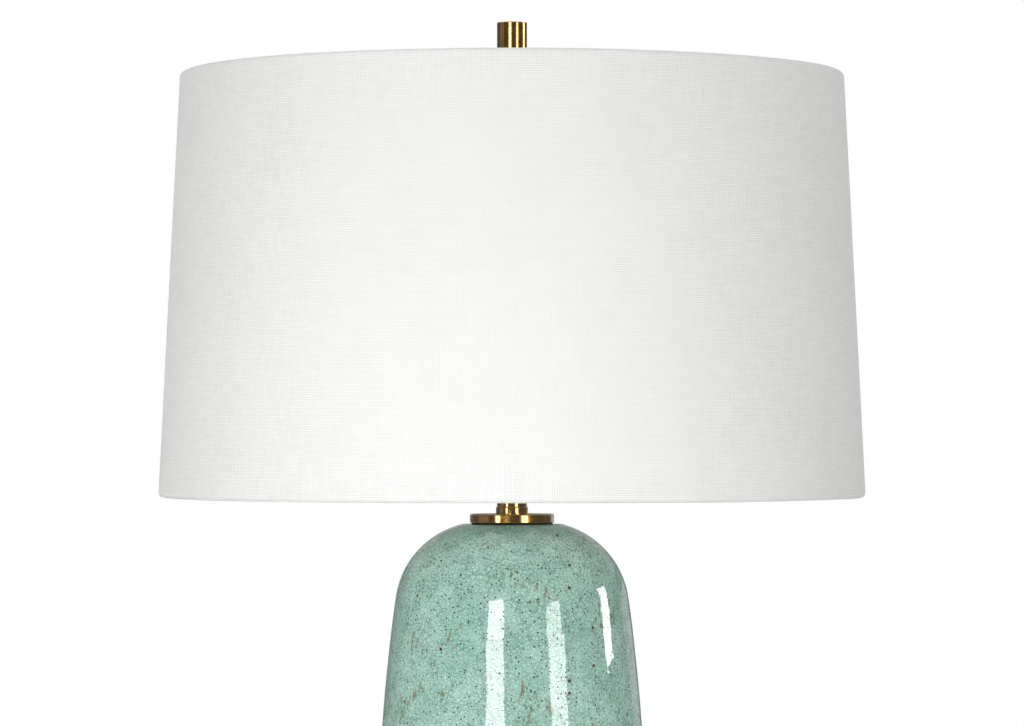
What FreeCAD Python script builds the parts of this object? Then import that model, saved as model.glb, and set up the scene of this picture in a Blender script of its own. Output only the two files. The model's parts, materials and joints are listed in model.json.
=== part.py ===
import FreeCAD, Part

import math
import os

import Sketcher

# A ginger jar table lamp: a glazed jar on a brass foot, with a lamp holder, bulb, harp and
# drum shade. Millimetres and degrees. Z is up, the rest face is at zero, the lamp stands on
# the Z axis, and its front is the -Y side. The harp stands in the XZ plane.

SIZES = (
    # Clearances.
    ("glue_gap", 0.1, "between glued, pressed, welded or screwed curved faces"),
    ("run_gap", 0.08, "radial, round a pin that turns"),
    ("slide_gap", 0.3, "between faces that part or slide"),
    ("rod_gap", 0.25, "radial, round the threaded rod"),
    # The foot and what it holds.
    ("felt_thickness", 2.0, "felt pad, stuck under the foot"),
    ("felt_inset", 3.0, "felt edge, back from the foot's edge"),
    ("foot_radius", 70.0, "spun foot, outside"),
    ("foot_height", 20.0, "spun foot"),
    ("foot_wall", 2.5, "spun foot, side and top"),
    ("foot_edge_round", 5.0, "radius of the foot's upper edge"),
    ("weight_radius", 60.0, "iron weight in the foot"),
    ("weight_thickness", 8.0, "iron weight in the foot"),
    ("weight_slot", 9.0, "cord slot in the weight"),
    ("washer_radius", 13.0, "flat washer under the weight"),
    ("washer_thickness", 1.2, "flat washers"),
    ("nut_width", 14.3, "hexagon nuts, across flats"),
    ("nut_thickness", 3.2, "hexagon nuts"),
    ("cord_hole_radius", 4.5, "hole in the foot's rear wall"),
    ("cord_hole_height", 8.0, "its middle, above the foot's lower edge"),
    ("bushing_bore_radius", 3.3, "room for a flat lamp cord"),
    ("bushing_flange_radius", 6.0, "cord bushing outside the wall"),
    ("bushing_flange", 1.5, "thickness of that flange"),
    ("bushing_barb", 3.0, "length of the snap ring inside the wall"),
    ("bushing_barb_lip", 0.6, "how far the snap ring stands out"),
    # The rod that ties the lamp together.
    ("rod_radius", 5.0, "threaded lamp rod"),
    ("rod_bore_radius", 3.3, "its bore, for the wires"),
    ("rod_end", 2.0, "rod below the foot's nut"),
    # The jar.
    ("foot_gasket_thickness", 1.5, "rubber ring under the jar"),
    ("jar_belly_radius", 82.3, "widest, outside the glaze"),
    ("jar_side_arc", 1100.0, "arc of the side above the belly"),
    ("jar_side_sweep", 8.2, "degrees of that arc"),
    ("jar_shoulder_arc", 54.0, "arc of the shoulder"),
    ("jar_shoulder_end", 76.0, "degrees above level where the shoulder ends"),
    ("jar_lower_arc", 620.0, "arc of the side below the belly"),
    ("jar_lower_sweep", 14.0, "degrees of that arc"),
    ("jar_heel_round", 8.0, "rounding above the foot ring"),
    ("jar_heel_end", 75.0, "degrees below level where the rounding ends"),
    ("jar_wall", 6.0, "slip cast wall"),
    ("jar_floor", 8.0, "thickness of the floor"),
    ("jar_ring_width", 8.0, "foot ring, left unglazed"),
    ("jar_ring_height", 3.0, "foot ring"),
    ("jar_mouth_radius", 20.0, "hole in the top"),
    # The cap and neck.
    ("cap_gasket_thickness", 0.8, "rubber ring under the cap"),
    ("cap_gasket_inset", 0.9, "its edge, back from the cap's edge"),
    ("cap_radius", 25.7, "brass vase cap"),
    ("cap_thickness", 5.5, "brass vase cap"),
    ("cap_edge_round", 0.7, "its edges"),
    ("cap_spigot_gap", 0.5, "radial, in the jar's mouth"),
    ("cap_spigot_wall", 2.0, "ring under the cap"),
    ("cap_spigot_depth", 5.0, "ring under the cap"),
    ("collar_radius", 9.8, "ring at the foot of the neck"),
    ("collar_height", 4.6, "ring at the foot of the neck"),
    ("collar_edge_round", 0.8, "its upper edge"),
    ("neck_radius", 9.2, "neck"),
    ("neck_length", 21.0, "neck"),
    # The harp.
    ("saddle_width", 15.9, "steel strip"),
    ("saddle_thickness", 1.5, "steel strip"),
    ("saddle_bend", 8.0, "inside radius of its bends"),
    ("harp_leg_spacing", 65.0, "between the middles of the legs"),
    ("ear_shoulder_height", 14.0, "full strip, above the saddle's underside"),
    ("ear_tab_width", 4.8, "tongue on top of each ear"),
    ("ear_tab_height", 8.0, "tongue on top of each ear"),
    ("harp_wire_radius", 1.6, "harp wire"),
    ("harp_height", 228.6, "saddle's underside to the shade's seat"),
    ("harp_width", 100.0, "between the middles of the sides"),
    ("harp_leg_straight", 36.0, "straight foot of each leg"),
    ("harp_hip_arc", 60.0, "arcs that spread the legs"),
    ("harp_side_arc", 110.0, "arc that starts the top"),
    ("harp_side_sweep", 25.0, "degrees of that arc"),
    ("harp_flat_half", 9.0, "half the flat at the top"),
    ("sleeve_length", 14.0, "locking sleeves"),
    ("sleeve_bore_gap", 0.12, "round the corners of an ear's tongue"),
    ("sleeve_wall", 0.7, "locking sleeves"),
    ("sleeve_lip", 0.6, "rolled lip of a sleeve"),
    ("seat_radius", 6.5, "boss on the top of the harp"),
    ("seat_height", 8.0, "boss on the top of the harp"),
    ("swivel_radius", 9.0, "shoulder of the turning stud"),
    ("swivel_height", 2.0, "shoulder of the turning stud"),
    ("rivet_radius", 2.2, "shank of the stud in the boss"),
    ("rivet_head_radius", 3.6, "riveted end"),
    ("rivet_head_height", 1.2, "riveted end"),
    ("stud_radius", 3.1, "quarter inch stud"),
    ("stud_length", 14.0, "above its shoulder"),
    # The lamp holder and its switch.
    ("hub_radius", 7.6, "hub under the holder"),
    ("hub_height", 7.0, "hub under the holder"),
    ("holder_cap_radius", 16.9, "lower cup of the holder"),
    ("holder_cap_height", 18.0, "lower cup of the holder"),
    ("holder_cap_round", 3.0, "its lower edge"),
    ("shell_wall", 0.8, "brass of the cup and the shell"),
    ("shell_length", 42.0, "upper shell"),
    ("shell_overlap", 6.0, "shell inside the cup"),
    ("liner_wall", 0.8, "fibre liner"),
    ("core_radius", 13.4, "switch body"),
    ("core_height", 30.0, "switch body"),
    ("core_hollow_depth", 9.0, "wire room under it"),
    ("core_skirt_wall", 2.5, "round the wire room"),
    ("terminal_height", 15.0, "terminal screws, above the cup's floor"),
    ("terminal_pocket", 8.0, "square pocket for each of them"),
    ("terminal_pocket_depth", 3.0, "square pocket for each of them"),
    ("terminal_head_radius", 3.2, "terminal screws"),
    ("terminal_head_height", 2.0, "terminal screws"),
    ("terminal_shank_radius", 1.5, "terminal screws"),
    ("terminal_shank_length", 5.0, "terminal screws"),
    ("screw_shell_radius", 13.7, "threaded shell, outside"),
    ("screw_shell_wall", 0.5, "threaded shell"),
    ("screw_shell_height", 22.0, "threaded shell"),
    ("screw_shell_hole", 6.0, "hole in its floor"),
    ("contact_width", 5.0, "spring strip under the bulb"),
    ("contact_reach", 4.0, "half its length"),
    ("contact_thickness", 0.5, "spring strip"),
    ("contact_lift", 3.0, "its free end above the switch body"),
    ("set_screw_radius", 1.6, "screw in the hub"),
    ("set_screw_length", 6.0, "screw in the hub"),
    ("switch_height", 24.0, "its shaft, above the cup's floor"),
    ("switch_shaft_radius", 1.6, "switch shaft"),
    ("switch_shaft_depth", 7.0, "shaft inside the switch body"),
    ("switch_slot_gap", 0.5, "round the shaft in shell and liner"),
    ("knob_radius", 5.4, "switch knob"),
    ("knob_length", 13.0, "switch knob"),
    ("knob_stand_off", 2.0, "knob to the holder's cup"),
    ("knob_end_round", 1.0, "its outer edge"),
    ("knob_flute_radius", 1.1, "finger grooves"),
    ("knob_flutes", 12, "how many grooves"),
    ("knob_shaft_hold", 9.0, "shaft inside the knob"),
    # The bulb.
    ("bulb_gap", 0.1, "radial, bulb cap in the threaded shell"),
    ("bulb_lift", 0.2, "bulb contact above the spring strip"),
    ("bulb_tip_radius", 4.6, "bulb contact"),
    ("bulb_tip_height", 1.4, "bulb contact"),
    ("bulb_ring_height", 3.4, "black glass above the contact"),
    ("bulb_ring_top", 10.4, "its upper radius"),
    ("bulb_ring_foot", 5.4, "its lower radius"),
    ("bulb_cap_height", 19.0, "screw cap above the black glass"),
    ("bulb_cap_slope", 2.0, "height of the cap's lower slope"),
    ("bulb_cap_wall", 0.4, "screw cap"),
    ("bulb_neck_depth", 6.0, "glass inside the cap"),
    ("bulb_radius", 27.5, "glass at its widest"),
    ("bulb_centre", 44.0, "its widest, above the screw cap"),
    ("bulb_wall", 0.8, "glass"),
    # The shade.
    ("shade_top_radius", 203.0, "outside the linen, at the upper rim"),
    ("shade_flare", 13.0, "the lower rim is wider by this on each side"),
    ("shade_height", 259.0, "rim to rim"),
    ("shade_drop", 12.7, "upper rim above the finial's seat"),
    ("linen_thickness", 0.6, "linen"),
    ("liner_thickness", 0.8, "stiff backing"),
    ("hem_depth", 8.0, "linen turned in, below the ring"),
    ("hem_gap", 0.4, "between the linen, the backing and the rings"),
    ("ring_wire_radius", 1.5, "wire of both rings"),
    ("arm_wire_radius", 1.5, "wire of the arms"),
    ("arm_start_radius", 12.0, "arms begin, in the washer"),
    ("arm_bend", 8.0, "radius where an arm turns up"),
    ("arm_rise_angle", 45.0, "degrees, slope of the arm's end"),
    ("arm_count", 3, "arms"),
    ("arm_notch_gap", 0.6, "linen cut away round an arm"),
    ("hub_washer_radius", 16.0, "washer in the middle"),
    ("hub_washer_thickness", 1.6, "washer in the middle"),
    ("hub_washer_gap", 0.4, "radial, round the stud"),
    # The finial.
    ("finial_foot_radius", 6.0, "small foot of the finial"),
    ("finial_foot_height", 4.0, "small foot of the finial"),
    ("finial_radius", 9.2, "finial"),
    ("finial_height", 44.5, "finial, whole"),
    ("finial_bore_depth", 17.0, "bore for the stud"),
    ("finial_edge_round", 0.5, "its edges"),
)

# Places that follow from the sizes. Heights are above the rest face.
PLACES = (
    ("foot_bottom", "size.felt_thickness"),
    ("foot_top", "foot_bottom + size.foot_height"),
    ("foot_inside", "foot_top - size.foot_wall"),
    ("weight_bottom", "foot_inside - size.weight_thickness"),
    ("washer_bottom", "weight_bottom - size.washer_thickness"),
    ("foot_nut_bottom", "washer_bottom - size.nut_thickness"),
    ("rod_hole", "size.rod_radius + size.rod_gap"),
    ("cord_height", "foot_bottom + size.cord_hole_height"),
    ("cord_wall_inside", "sqrt((size.foot_radius - size.foot_wall)^2"
                         " - size.bushing_flange_radius^2)"),
    # The jar's arcs: the side above the belly, the shoulder, the side below and the heel.
    ("jar_bottom", "foot_top + size.foot_gasket_thickness"),
    ("heel_across", "size.jar_belly_radius - size.jar_lower_arc"
                    " + (size.jar_lower_arc - size.jar_heel_round) * cos(size.jar_lower_sweep)"),
    ("heel_below", "(size.jar_lower_arc - size.jar_heel_round) * sin(size.jar_lower_sweep)"),
    ("ring_radius", "heel_across + size.jar_heel_round * cos(size.jar_heel_end)"),
    ("belly", "jar_bottom + heel_below + size.jar_heel_round * sin(size.jar_heel_end)"),
    ("shoulder_across", "size.jar_belly_radius - size.jar_side_arc"
                        " + (size.jar_side_arc - size.jar_shoulder_arc) * cos(size.jar_side_sweep)"),
    ("shoulder_centre", "belly + (size.jar_side_arc - size.jar_shoulder_arc)"
                        " * sin(size.jar_side_sweep)"),
    ("jar_land", "shoulder_across + size.jar_shoulder_arc * cos(size.jar_shoulder_end)"),
    ("jar_top", "shoulder_centre + size.jar_shoulder_arc * sin(size.jar_shoulder_end)"),
    ("jar_inner_arc", "size.jar_shoulder_arc - size.jar_wall"),
    ("jar_inner_top", "shoulder_centre + sqrt(jar_inner_arc^2"
                      " - (size.jar_mouth_radius - shoulder_across)^2)"),
    ("jar_floor_under", "jar_bottom + size.jar_ring_height"),
    ("jar_floor_top", "jar_floor_under + size.jar_floor"),
    # The stack on the jar.
    ("cap_bottom", "jar_top + size.cap_gasket_thickness"),
    ("cap_top", "cap_bottom + size.cap_thickness"),
    ("spigot_radius", "size.jar_mouth_radius - size.cap_spigot_gap"),
    ("collar_top", "cap_top + size.collar_height"),
    ("neck_top", "collar_top + size.neck_length"),
    ("saddle_top", "neck_top + size.saddle_thickness"),
    ("hub_bottom", "saddle_top + size.nut_thickness"),
    ("rod_top", "hub_bottom + size.hub_height"),
    # The harp.
    ("leg", "size.harp_leg_spacing / 2"),
    ("ear_shoulder", "neck_top + size.ear_shoulder_height"),
    ("ear_top", "ear_shoulder + size.ear_tab_height"),
    ("harp_bottom", "ear_top + size.slide_gap"),
    ("shade_seat", "neck_top + size.harp_height"),
    ("seat_top", "shade_seat - size.swivel_height"),
    ("wire_top", "seat_top - size.slide_gap - size.seat_height / 2"),
    ("harp_half", "size.harp_width / 2"),
    ("hip_bottom", "harp_bottom + size.harp_leg_straight"),
    ("hip_angle", "acos(1 - (harp_half - leg) / (2 * size.harp_hip_arc))"),
    ("hip_rise", "size.harp_hip_arc * sin(hip_angle)"),
    ("arch_across", "harp_half - size.harp_side_arc * (1 - cos(size.harp_side_sweep))"),
    ("arch_arc", "(arch_across - size.harp_flat_half) / cos(size.harp_side_sweep)"),
    ("arch_join", "wire_top - arch_arc * (1 - sin(size.harp_side_sweep))"),
    ("arch_bottom", "arch_join - size.harp_side_arc * sin(size.harp_side_sweep)"),
    ("sleeve_bore", "sqrt((size.ear_tab_width / 2)^2 + (size.saddle_thickness / 2)^2)"
                    " + size.sleeve_bore_gap"),
    ("sleeve_radius", "sleeve_bore + size.sleeve_wall"),
    ("sleeve_bottom", "ear_shoulder + size.slide_gap"),
    # The lamp holder.
    ("holder_bottom", "hub_bottom + size.hub_height"),
    ("holder_floor", "holder_bottom + size.shell_wall"),
    ("holder_rim", "holder_bottom + size.holder_cap_height"),
    ("shell_radius", "size.holder_cap_radius - size.shell_wall - size.glue_gap"),
    ("shell_bottom", "holder_rim - size.shell_overlap"),
    ("shell_top", "shell_bottom + size.shell_length"),
    ("liner_radius", "shell_radius - size.shell_wall - size.glue_gap"),
    ("core_top", "holder_floor + size.core_height"),
    ("terminal_middle", "holder_floor + size.terminal_height"),
    ("switch_middle", "holder_floor + size.switch_height"),
    ("shaft_inner", "size.core_radius - size.switch_shaft_depth"),
    ("knob_inner", "size.holder_cap_radius + size.knob_stand_off"),
    ("screw_shell_top", "core_top + size.screw_shell_height"),
    # The bulb.
    ("bulb_bottom", "core_top + size.contact_lift + size.bulb_lift"),
    ("bulb_ring_bottom", "bulb_bottom + size.bulb_tip_height"),
    ("bulb_cap_bottom", "bulb_ring_bottom + size.bulb_ring_height"),
    ("bulb_cap_top", "bulb_cap_bottom + size.bulb_cap_height"),
    ("bulb_cap_radius", "size.screw_shell_radius - size.screw_shell_wall - size.bulb_gap"),
    ("bulb_neck", "bulb_cap_radius - size.bulb_cap_wall - size.glue_gap"),
    ("glass_bottom", "bulb_cap_top - size.bulb_neck_depth"),
    ("glass_centre", "bulb_cap_top + size.bulb_centre"),
    ("neck_arc", "(size.bulb_centre^2 + bulb_neck^2 - size.bulb_radius^2)"
                 " / (2 * (size.bulb_radius - bulb_neck))"),
    ("neck_angle", "atan(size.bulb_centre / (bulb_neck + neck_arc))"),
    # The shade: its wall leans in by shade_lean for each millimetre up.
    ("finial_seat", "shade_seat + size.hub_washer_thickness + 2 * size.slide_gap"),
    ("shade_top", "finial_seat + size.shade_drop"),
    ("shade_bottom", "shade_top - size.shade_height"),
    ("shade_lean", "size.shade_flare / size.shade_height"),
    ("rim_width", "2 * (size.linen_thickness + size.ring_wire_radius) + size.liner_thickness"
                  " + 2 * size.hem_gap + size.glue_gap"),
    ("rim_round", "rim_width / 2"),
    ("rim_high", "shade_top - rim_round"),
    ("rim_low", "shade_bottom + rim_round"),
    ("rim_high_radius", "size.shade_top_radius + shade_lean * rim_round"),
    ("rim_low_radius", "size.shade_top_radius + size.shade_flare - shade_lean * rim_round"),
    ("ring_inset", "size.linen_thickness + size.liner_thickness + size.ring_wire_radius"
                   " + size.hem_gap + size.glue_gap"),
    ("liner_inset", "size.linen_thickness + size.glue_gap"),
    ("hub_washer_bottom", "shade_seat + size.slide_gap"),
    ("arm_level", "hub_washer_bottom + size.hub_washer_thickness / 2"),
    ("arm_end", "rim_high_radius - ring_inset"),
    ("arm_rise", "rim_high - arm_level"),
    ("arm_corner", "arm_end - arm_rise / tan(size.arm_rise_angle)"),
    ("arm_cut", "size.arm_bend * tan(size.arm_rise_angle / 2)"),
    ("arm_weld", "size.ring_wire_radius + size.glue_gap"),
    ("notch_top", "rim_high + size.arm_wire_radius / 2"),
)

RADIUS_PLANE = "XZ_Plane"

doc = FreeCAD.newDocument("ginger_jar_lamp")


def add_sheet(name, rows):
    """A spreadsheet of aliased cells. A row is alias, number or formula, and perhaps a note."""
    sheet = doc.addObject("Spreadsheet::Sheet", name)
    for line, row in enumerate(rows, start=1):
        alias, content = row[0], row[1]
        sheet.set("A%d" % line, alias)
        sheet.set("B%d" % line, "=" + content if isinstance(content, str) else str(content))
        sheet.setAlias("B%d" % line, alias)
        if len(row) > 2:
            sheet.set("C%d" % line, row[2])
    doc.recompute()
    return sheet


size = add_sheet("size", SIZES)
place = add_sheet("place", PLACES)


def value(expression):
    """The number that an expression on the sheets gives."""
    result = place.evalExpression(expression)
    return float(getattr(result, "Value", result))


def new_body(label):
    body = doc.addObject("PartDesign::Body", label)
    body.Label = label
    return body


def new_sketch(body, name, plane, lift=None):
    """An empty sketch on one of the body's own origin planes, lifted off it by an expression."""
    sketch = body.newObject("Sketcher::SketchObject", name)
    planes = {feature.Role: feature for feature in body.Origin.OriginFeatures}
    sketch.AttachmentSupport = (planes[plane], [""])
    sketch.MapMode = "FlatFace"
    if lift:
        sketch.setExpression("AttachmentOffset.Base.z", lift)
    return sketch


def bind_point(sketch, geometry, position, across, up):
    """Hold one point of the sketch at two expressions from its origin."""
    for expression, kind, axis in ((across, "DistanceX", -2), (up, "DistanceY", -1)):
        if expression == "0":
            sketch.addConstraint(Sketcher.Constraint("PointOnObject", geometry, position, axis))
        else:
            bound = Sketcher.Constraint(kind, -1, 1, geometry, position, value(expression))
            index = sketch.addConstraint(bound)
            sketch.setExpression("Constraints[%d]" % index, expression)


def add_outline(body, name, corners, plane=RADIUS_PLANE, closed=True, lift=None):
    """A sketch through the corners, each held at its expressions.

    A corner is (across, up) where a straight side goes on to the next one. With a third
    expression the side is an arc of that radius, and "left" or "right" says which way it turns.
    """
    sketch = new_sketch(body, name, plane, lift)
    points = [(value(corner[0]), value(corner[1])) for corner in corners]
    count = len(corners) if closed else len(corners) - 1
    ends = []
    for index in range(count):
        here, there = points[index], points[(index + 1) % len(points)]
        corner = corners[index]
        if len(corner) == 2:
            start, stop = FreeCAD.Vector(*here, 0), FreeCAD.Vector(*there, 0)
            sketch.addGeometry(Part.LineSegment(start, stop), False)
            ends.append((1, 2))
        else:
            radius, left = value(corner[2]), corner[3] == "left"
            sketch.addGeometry(arc_between(here, there, radius, left), False)
            ends.append((1, 2) if left else (2, 1))
            index_of = sketch.addConstraint(Sketcher.Constraint("Radius", index, radius))
            sketch.setExpression("Constraints[%d]" % index_of, corner[2])
        bind_point(sketch, index, ends[index][0], corner[0], corner[1])
    for index in range(count if closed else count - 1):
        after = (index + 1) % count
        sketch.addConstraint(
            Sketcher.Constraint("Coincident", index, ends[index][1], after, ends[after][0]))
    if not closed:
        bind_point(sketch, count - 1, ends[-1][1], corners[-1][0], corners[-1][1])
    return sketch


def arc_between(here, there, radius, left):
    """The shorter arc of a radius from one point to another, turning left or right."""
    chord = (there[0] - here[0], there[1] - here[1])
    length = math.hypot(*chord)
    height = math.sqrt(max(radius ** 2 - (length / 2) ** 2, 0.0))
    side = 1 if left else -1
    centre = ((here[0] + there[0]) / 2 - side * height * chord[1] / length,
              (here[1] + there[1]) / 2 + side * height * chord[0] / length)
    first, last = (here, there) if left else (there, here)
    angles = [math.atan2(end[1] - centre[1], end[0] - centre[0]) for end in (first, last)]
    circle = Part.Circle(FreeCAD.Vector(*centre, 0), FreeCAD.Vector(0, 0, 1), radius)
    return Part.ArcOfCircle(circle, *angles)


def add_circles(body, name, plane, circles, lift=None):
    """A sketch of circles, each (across, up, radius) in expressions."""
    sketch = new_sketch(body, name, plane, lift)
    for index, (across, up, radius) in enumerate(circles):
        middle = FreeCAD.Vector(value(across), value(up), 0)
        normal = FreeCAD.Vector(0, 0, 1)
        sketch.addGeometry(Part.Circle(middle, normal, value(radius)), False)
        bind_point(sketch, index, 3, across, up)
        bound = sketch.addConstraint(Sketcher.Constraint("Radius", index, value(radius)))
        sketch.setExpression("Constraints[%d]" % bound, radius)
    return sketch


def add_box_sketch(body, name, plane, left, right, low, high, lift=None):
    """A rectangle between four expressions."""
    corners = [(left, low), (right, low), (right, high), (left, high)]
    return add_outline(body, name, corners, plane=plane, lift=lift)


def turn(body, name, sketch, axis="V_Axis"):
    """A full revolution of the sketch about one of its own axes."""
    feature = body.newObject("PartDesign::Revolution", name)
    feature.Profile = sketch
    feature.ReferenceAxis = (sketch, [axis])
    feature.Angle = 360
    doc.recompute()
    return feature


def pad(body, name, sketch, length, both_sides=False, reverse=False):
    feature = body.newObject("PartDesign::Pad", name)
    feature.Profile = sketch
    feature.SideType = "Symmetric" if both_sides else "One side"
    feature.Reversed = reverse
    feature.setExpression("Length", length)
    doc.recompute()
    return feature


def pocket(body, name, sketch, length, both_sides=False, reverse=False):
    """Cut the sketch into the body, and make sure that it took something away."""
    before = body.Tip.Shape.Volume
    feature = body.newObject("PartDesign::Pocket", name)
    feature.Profile = sketch
    feature.SideType = "Symmetric" if both_sides else "One side"
    feature.Reversed = reverse
    feature.setExpression("Length", length)
    doc.recompute()
    if feature.Shape.Volume > before - 1e-3:
        raise RuntimeError("%s of %s cuts nothing" % (name, body.Label))
    return feature


def sweep(body, name, profile, spine):
    feature = body.newObject("PartDesign::AdditivePipe", name)
    feature.Profile = profile
    feature.Spine = (spine, [])
    doc.recompute()
    return feature


def repeat_round(body, name, original, count):
    """The feature again, evenly round the Z axis."""
    pattern = body.newObject("PartDesign::PolarPattern", name)
    pattern.Originals = [original]
    axes = {feature.Role: feature for feature in body.Origin.OriginFeatures}
    pattern.Axis = (axes["Z_Axis"], [""])
    pattern.Angle = 360
    pattern.setExpression("Occurrences", count)
    body.Tip = pattern
    doc.recompute()
    return pattern


def turned(label, corners):
    """A piece of revolution about the Z axis from its half section: (radius, height) corners."""
    body = new_body(label)
    turn(body, label + "_turn", add_outline(body, label + "_section", corners))
    return body


def ring(label, inner, outer, low, high):
    """A plain ring or tube of square section."""
    return turned(label, [(inner, low), (outer, low), (outer, high), (inner, high)])


def disc(label, radius, low, high):
    """A plain solid disc."""
    return turned(label, [("0", low), (radius, low), (radius, high), ("0", high)])


# ---------------------------------------------------------------------------- the foot


def build_felt_pad():
    return disc("felt_pad", "size.foot_radius - size.felt_inset", "0", "place.foot_bottom")


def build_lamp_foot():
    """A spun brass cup, open below, with the rod's hole on top and the cord's behind."""
    body = turned("lamp_foot", [
        ("place.rod_hole", "place.foot_inside"),
        ("size.foot_radius - size.foot_wall", "place.foot_inside"),
        ("size.foot_radius - size.foot_wall", "place.foot_bottom"),
        ("size.foot_radius", "place.foot_bottom"),
        ("size.foot_radius", "place.foot_top - size.foot_edge_round",
         "size.foot_edge_round", "left"),
        ("size.foot_radius - size.foot_edge_round", "place.foot_top"),
        ("place.rod_hole", "place.foot_top"),
    ])
    hole = add_circles(body, "cord_hole", "XZ_Plane",
                       [("0", "place.cord_height", "size.cord_hole_radius")])
    pocket(body, "cord_hole_cut", hole, "size.foot_radius + size.foot_wall")
    return body


def build_foot_weight():
    """A cast iron disc under the foot's top, slotted from the rod's hole to the cord's."""
    body = ring("foot_weight", "place.rod_hole", "size.weight_radius",
                "place.weight_bottom", "place.foot_inside")
    slot = add_box_sketch(body, "cord_slot", "XY_Plane", "-size.weight_slot / 2",
                          "size.weight_slot / 2", "size.washer_radius",
                          "size.weight_radius + size.foot_wall", lift="place.weight_bottom")
    pocket(body, "cord_slot_cut", slot, "size.weight_thickness", reverse=True)
    return body


def build_cord_bushing():
    """A snap-in bushing in the foot's rear wall, open for a flat cord."""
    body = new_body("cord_bushing")
    neck = "size.cord_hole_radius - size.glue_gap"
    barb = "size.cord_hole_radius + size.bushing_barb_lip"
    wall = "place.cord_wall_inside - size.glue_gap"
    bore = "size.bushing_bore_radius"
    section = add_outline(body, "cord_bushing_section", [
        (bore, wall + " - size.bushing_barb"),
        (neck, wall + " - size.bushing_barb"),
        (barb, wall),
        (neck, wall),
        (neck, "size.foot_radius"),
        ("size.bushing_flange_radius", "size.foot_radius"),
        ("size.bushing_flange_radius", "size.foot_radius + size.bushing_flange"),
        (bore, "size.foot_radius + size.bushing_flange"),
    ], plane="XY_Plane")
    turn(body, "cord_bushing_turn", section)
    body.setExpression("Placement.Base.z", "place.cord_height")
    return body


def hex_nut(label, low, high):
    """A hexagon nut on the rod, flats to the front and back."""
    body = new_body(label)
    half = "size.nut_width / 2"
    side = "size.nut_width / 2 / cos(30)"
    corners = [
        (side, "0"),
        (side + " / 2", half),
        ("-" + side + " / 2", half),
        ("-" + side, "0"),
        ("-" + side + " / 2", "-" + half),
        (side + " / 2", "-" + half),
    ]
    outline = add_outline(body, label + "_flats", corners, plane="XY_Plane", lift=low)
    pad(body, label + "_pad", outline, "size.nut_thickness")
    hole = add_circles(body, label + "_thread", "XY_Plane",
                       [("0", "0", "size.rod_radius + size.glue_gap")], lift=high)
    pocket(body, label + "_thread_cut", hole, "size.nut_thickness")
    return body


def build_threaded_rod():
    return ring("threaded_rod", "size.rod_bore_radius", "size.rod_radius",
                "place.foot_nut_bottom - size.rod_end", "place.rod_top")


# ---------------------------------------------------------------------------- the jar


def build_ginger_jar():
    """The slip cast jar: outside from the mouth down to the foot ring, inside back up again."""
    lower = "(size.jar_lower_arc - size.jar_wall)"
    upper = "(size.jar_side_arc - size.jar_wall)"
    side_centre = "size.jar_belly_radius - size.jar_side_arc"
    lower_centre = "size.jar_belly_radius - size.jar_lower_arc"
    return turned("ginger_jar", [
        ("size.jar_mouth_radius", "place.jar_top"),
        ("place.jar_land", "place.jar_top", "size.jar_shoulder_arc", "right"),
        (side_centre + " + size.jar_side_arc * cos(size.jar_side_sweep)",
         "place.belly + size.jar_side_arc * sin(size.jar_side_sweep)",
         "size.jar_side_arc", "right"),
        ("size.jar_belly_radius", "place.belly", "size.jar_lower_arc", "right"),
        (lower_centre + " + size.jar_lower_arc * cos(size.jar_lower_sweep)",
         "place.belly - size.jar_lower_arc * sin(size.jar_lower_sweep)",
         "size.jar_heel_round", "right"),
        ("place.ring_radius", "place.jar_bottom"),
        ("place.ring_radius - size.jar_ring_width", "place.jar_bottom"),
        ("place.ring_radius - size.jar_ring_width", "place.jar_floor_under"),
        ("place.rod_hole", "place.jar_floor_under"),
        ("place.rod_hole", "place.jar_floor_top"),
        ("place.ring_radius - size.jar_wall", "place.jar_floor_top"),
        (lower_centre + " + " + lower + " * cos(size.jar_lower_sweep)",
         "place.belly - " + lower + " * sin(size.jar_lower_sweep)", lower, "left"),
        ("size.jar_belly_radius - size.jar_wall", "place.belly", upper, "left"),
        (side_centre + " + " + upper + " * cos(size.jar_side_sweep)",
         "place.belly + " + upper + " * sin(size.jar_side_sweep)",
         "place.jar_inner_arc", "left"),
        ("size.jar_mouth_radius", "place.jar_inner_top"),
    ])


def build_gaskets():
    """The rubber rings that keep metal off the glaze."""
    ring("foot_gasket", "place.ring_radius - size.jar_ring_width", "place.ring_radius",
         "place.foot_top", "place.jar_bottom")
    ring("cap_gasket", "size.jar_mouth_radius", "size.cap_radius - size.cap_gasket_inset",
         "place.jar_top", "place.cap_bottom")


# ---------------------------------------------------------------------------- cap and neck


def build_vase_cap():
    """A turned brass disc with a ring below that centres it in the jar's mouth."""
    edge = "size.cap_edge_round"
    rim = "size.cap_radius - size.cap_edge_round"
    inner = "place.spigot_radius - size.cap_spigot_wall"
    return turned("vase_cap", [
        ("place.rod_hole", "place.cap_bottom"),
        (inner, "place.cap_bottom"),
        (inner, "place.cap_bottom - size.cap_spigot_depth"),
        ("place.spigot_radius", "place.cap_bottom - size.cap_spigot_depth"),
        ("place.spigot_radius", "place.cap_bottom"),
        (rim, "place.cap_bottom", edge, "left"),
        ("size.cap_radius", "place.cap_bottom + " + edge),
        ("size.cap_radius", "place.cap_top - " + edge, edge, "left"),
        (rim, "place.cap_top"),
        ("place.rod_hole", "place.cap_top"),
    ])


def build_neck():
    """The ring on the cap, and the turned neck on the ring."""
    edge = "size.collar_edge_round"
    turned("neck_collar", [
        ("place.rod_hole", "place.cap_top"),
        ("size.collar_radius", "place.cap_top"),
        ("size.collar_radius", "place.collar_top - " + edge, edge, "left"),
        ("size.collar_radius - " + edge, "place.collar_top"),
        ("place.rod_hole", "place.collar_top"),
    ])
    ring("neck_tube", "place.rod_hole", "size.neck_radius", "place.collar_top", "place.neck_top")


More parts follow.
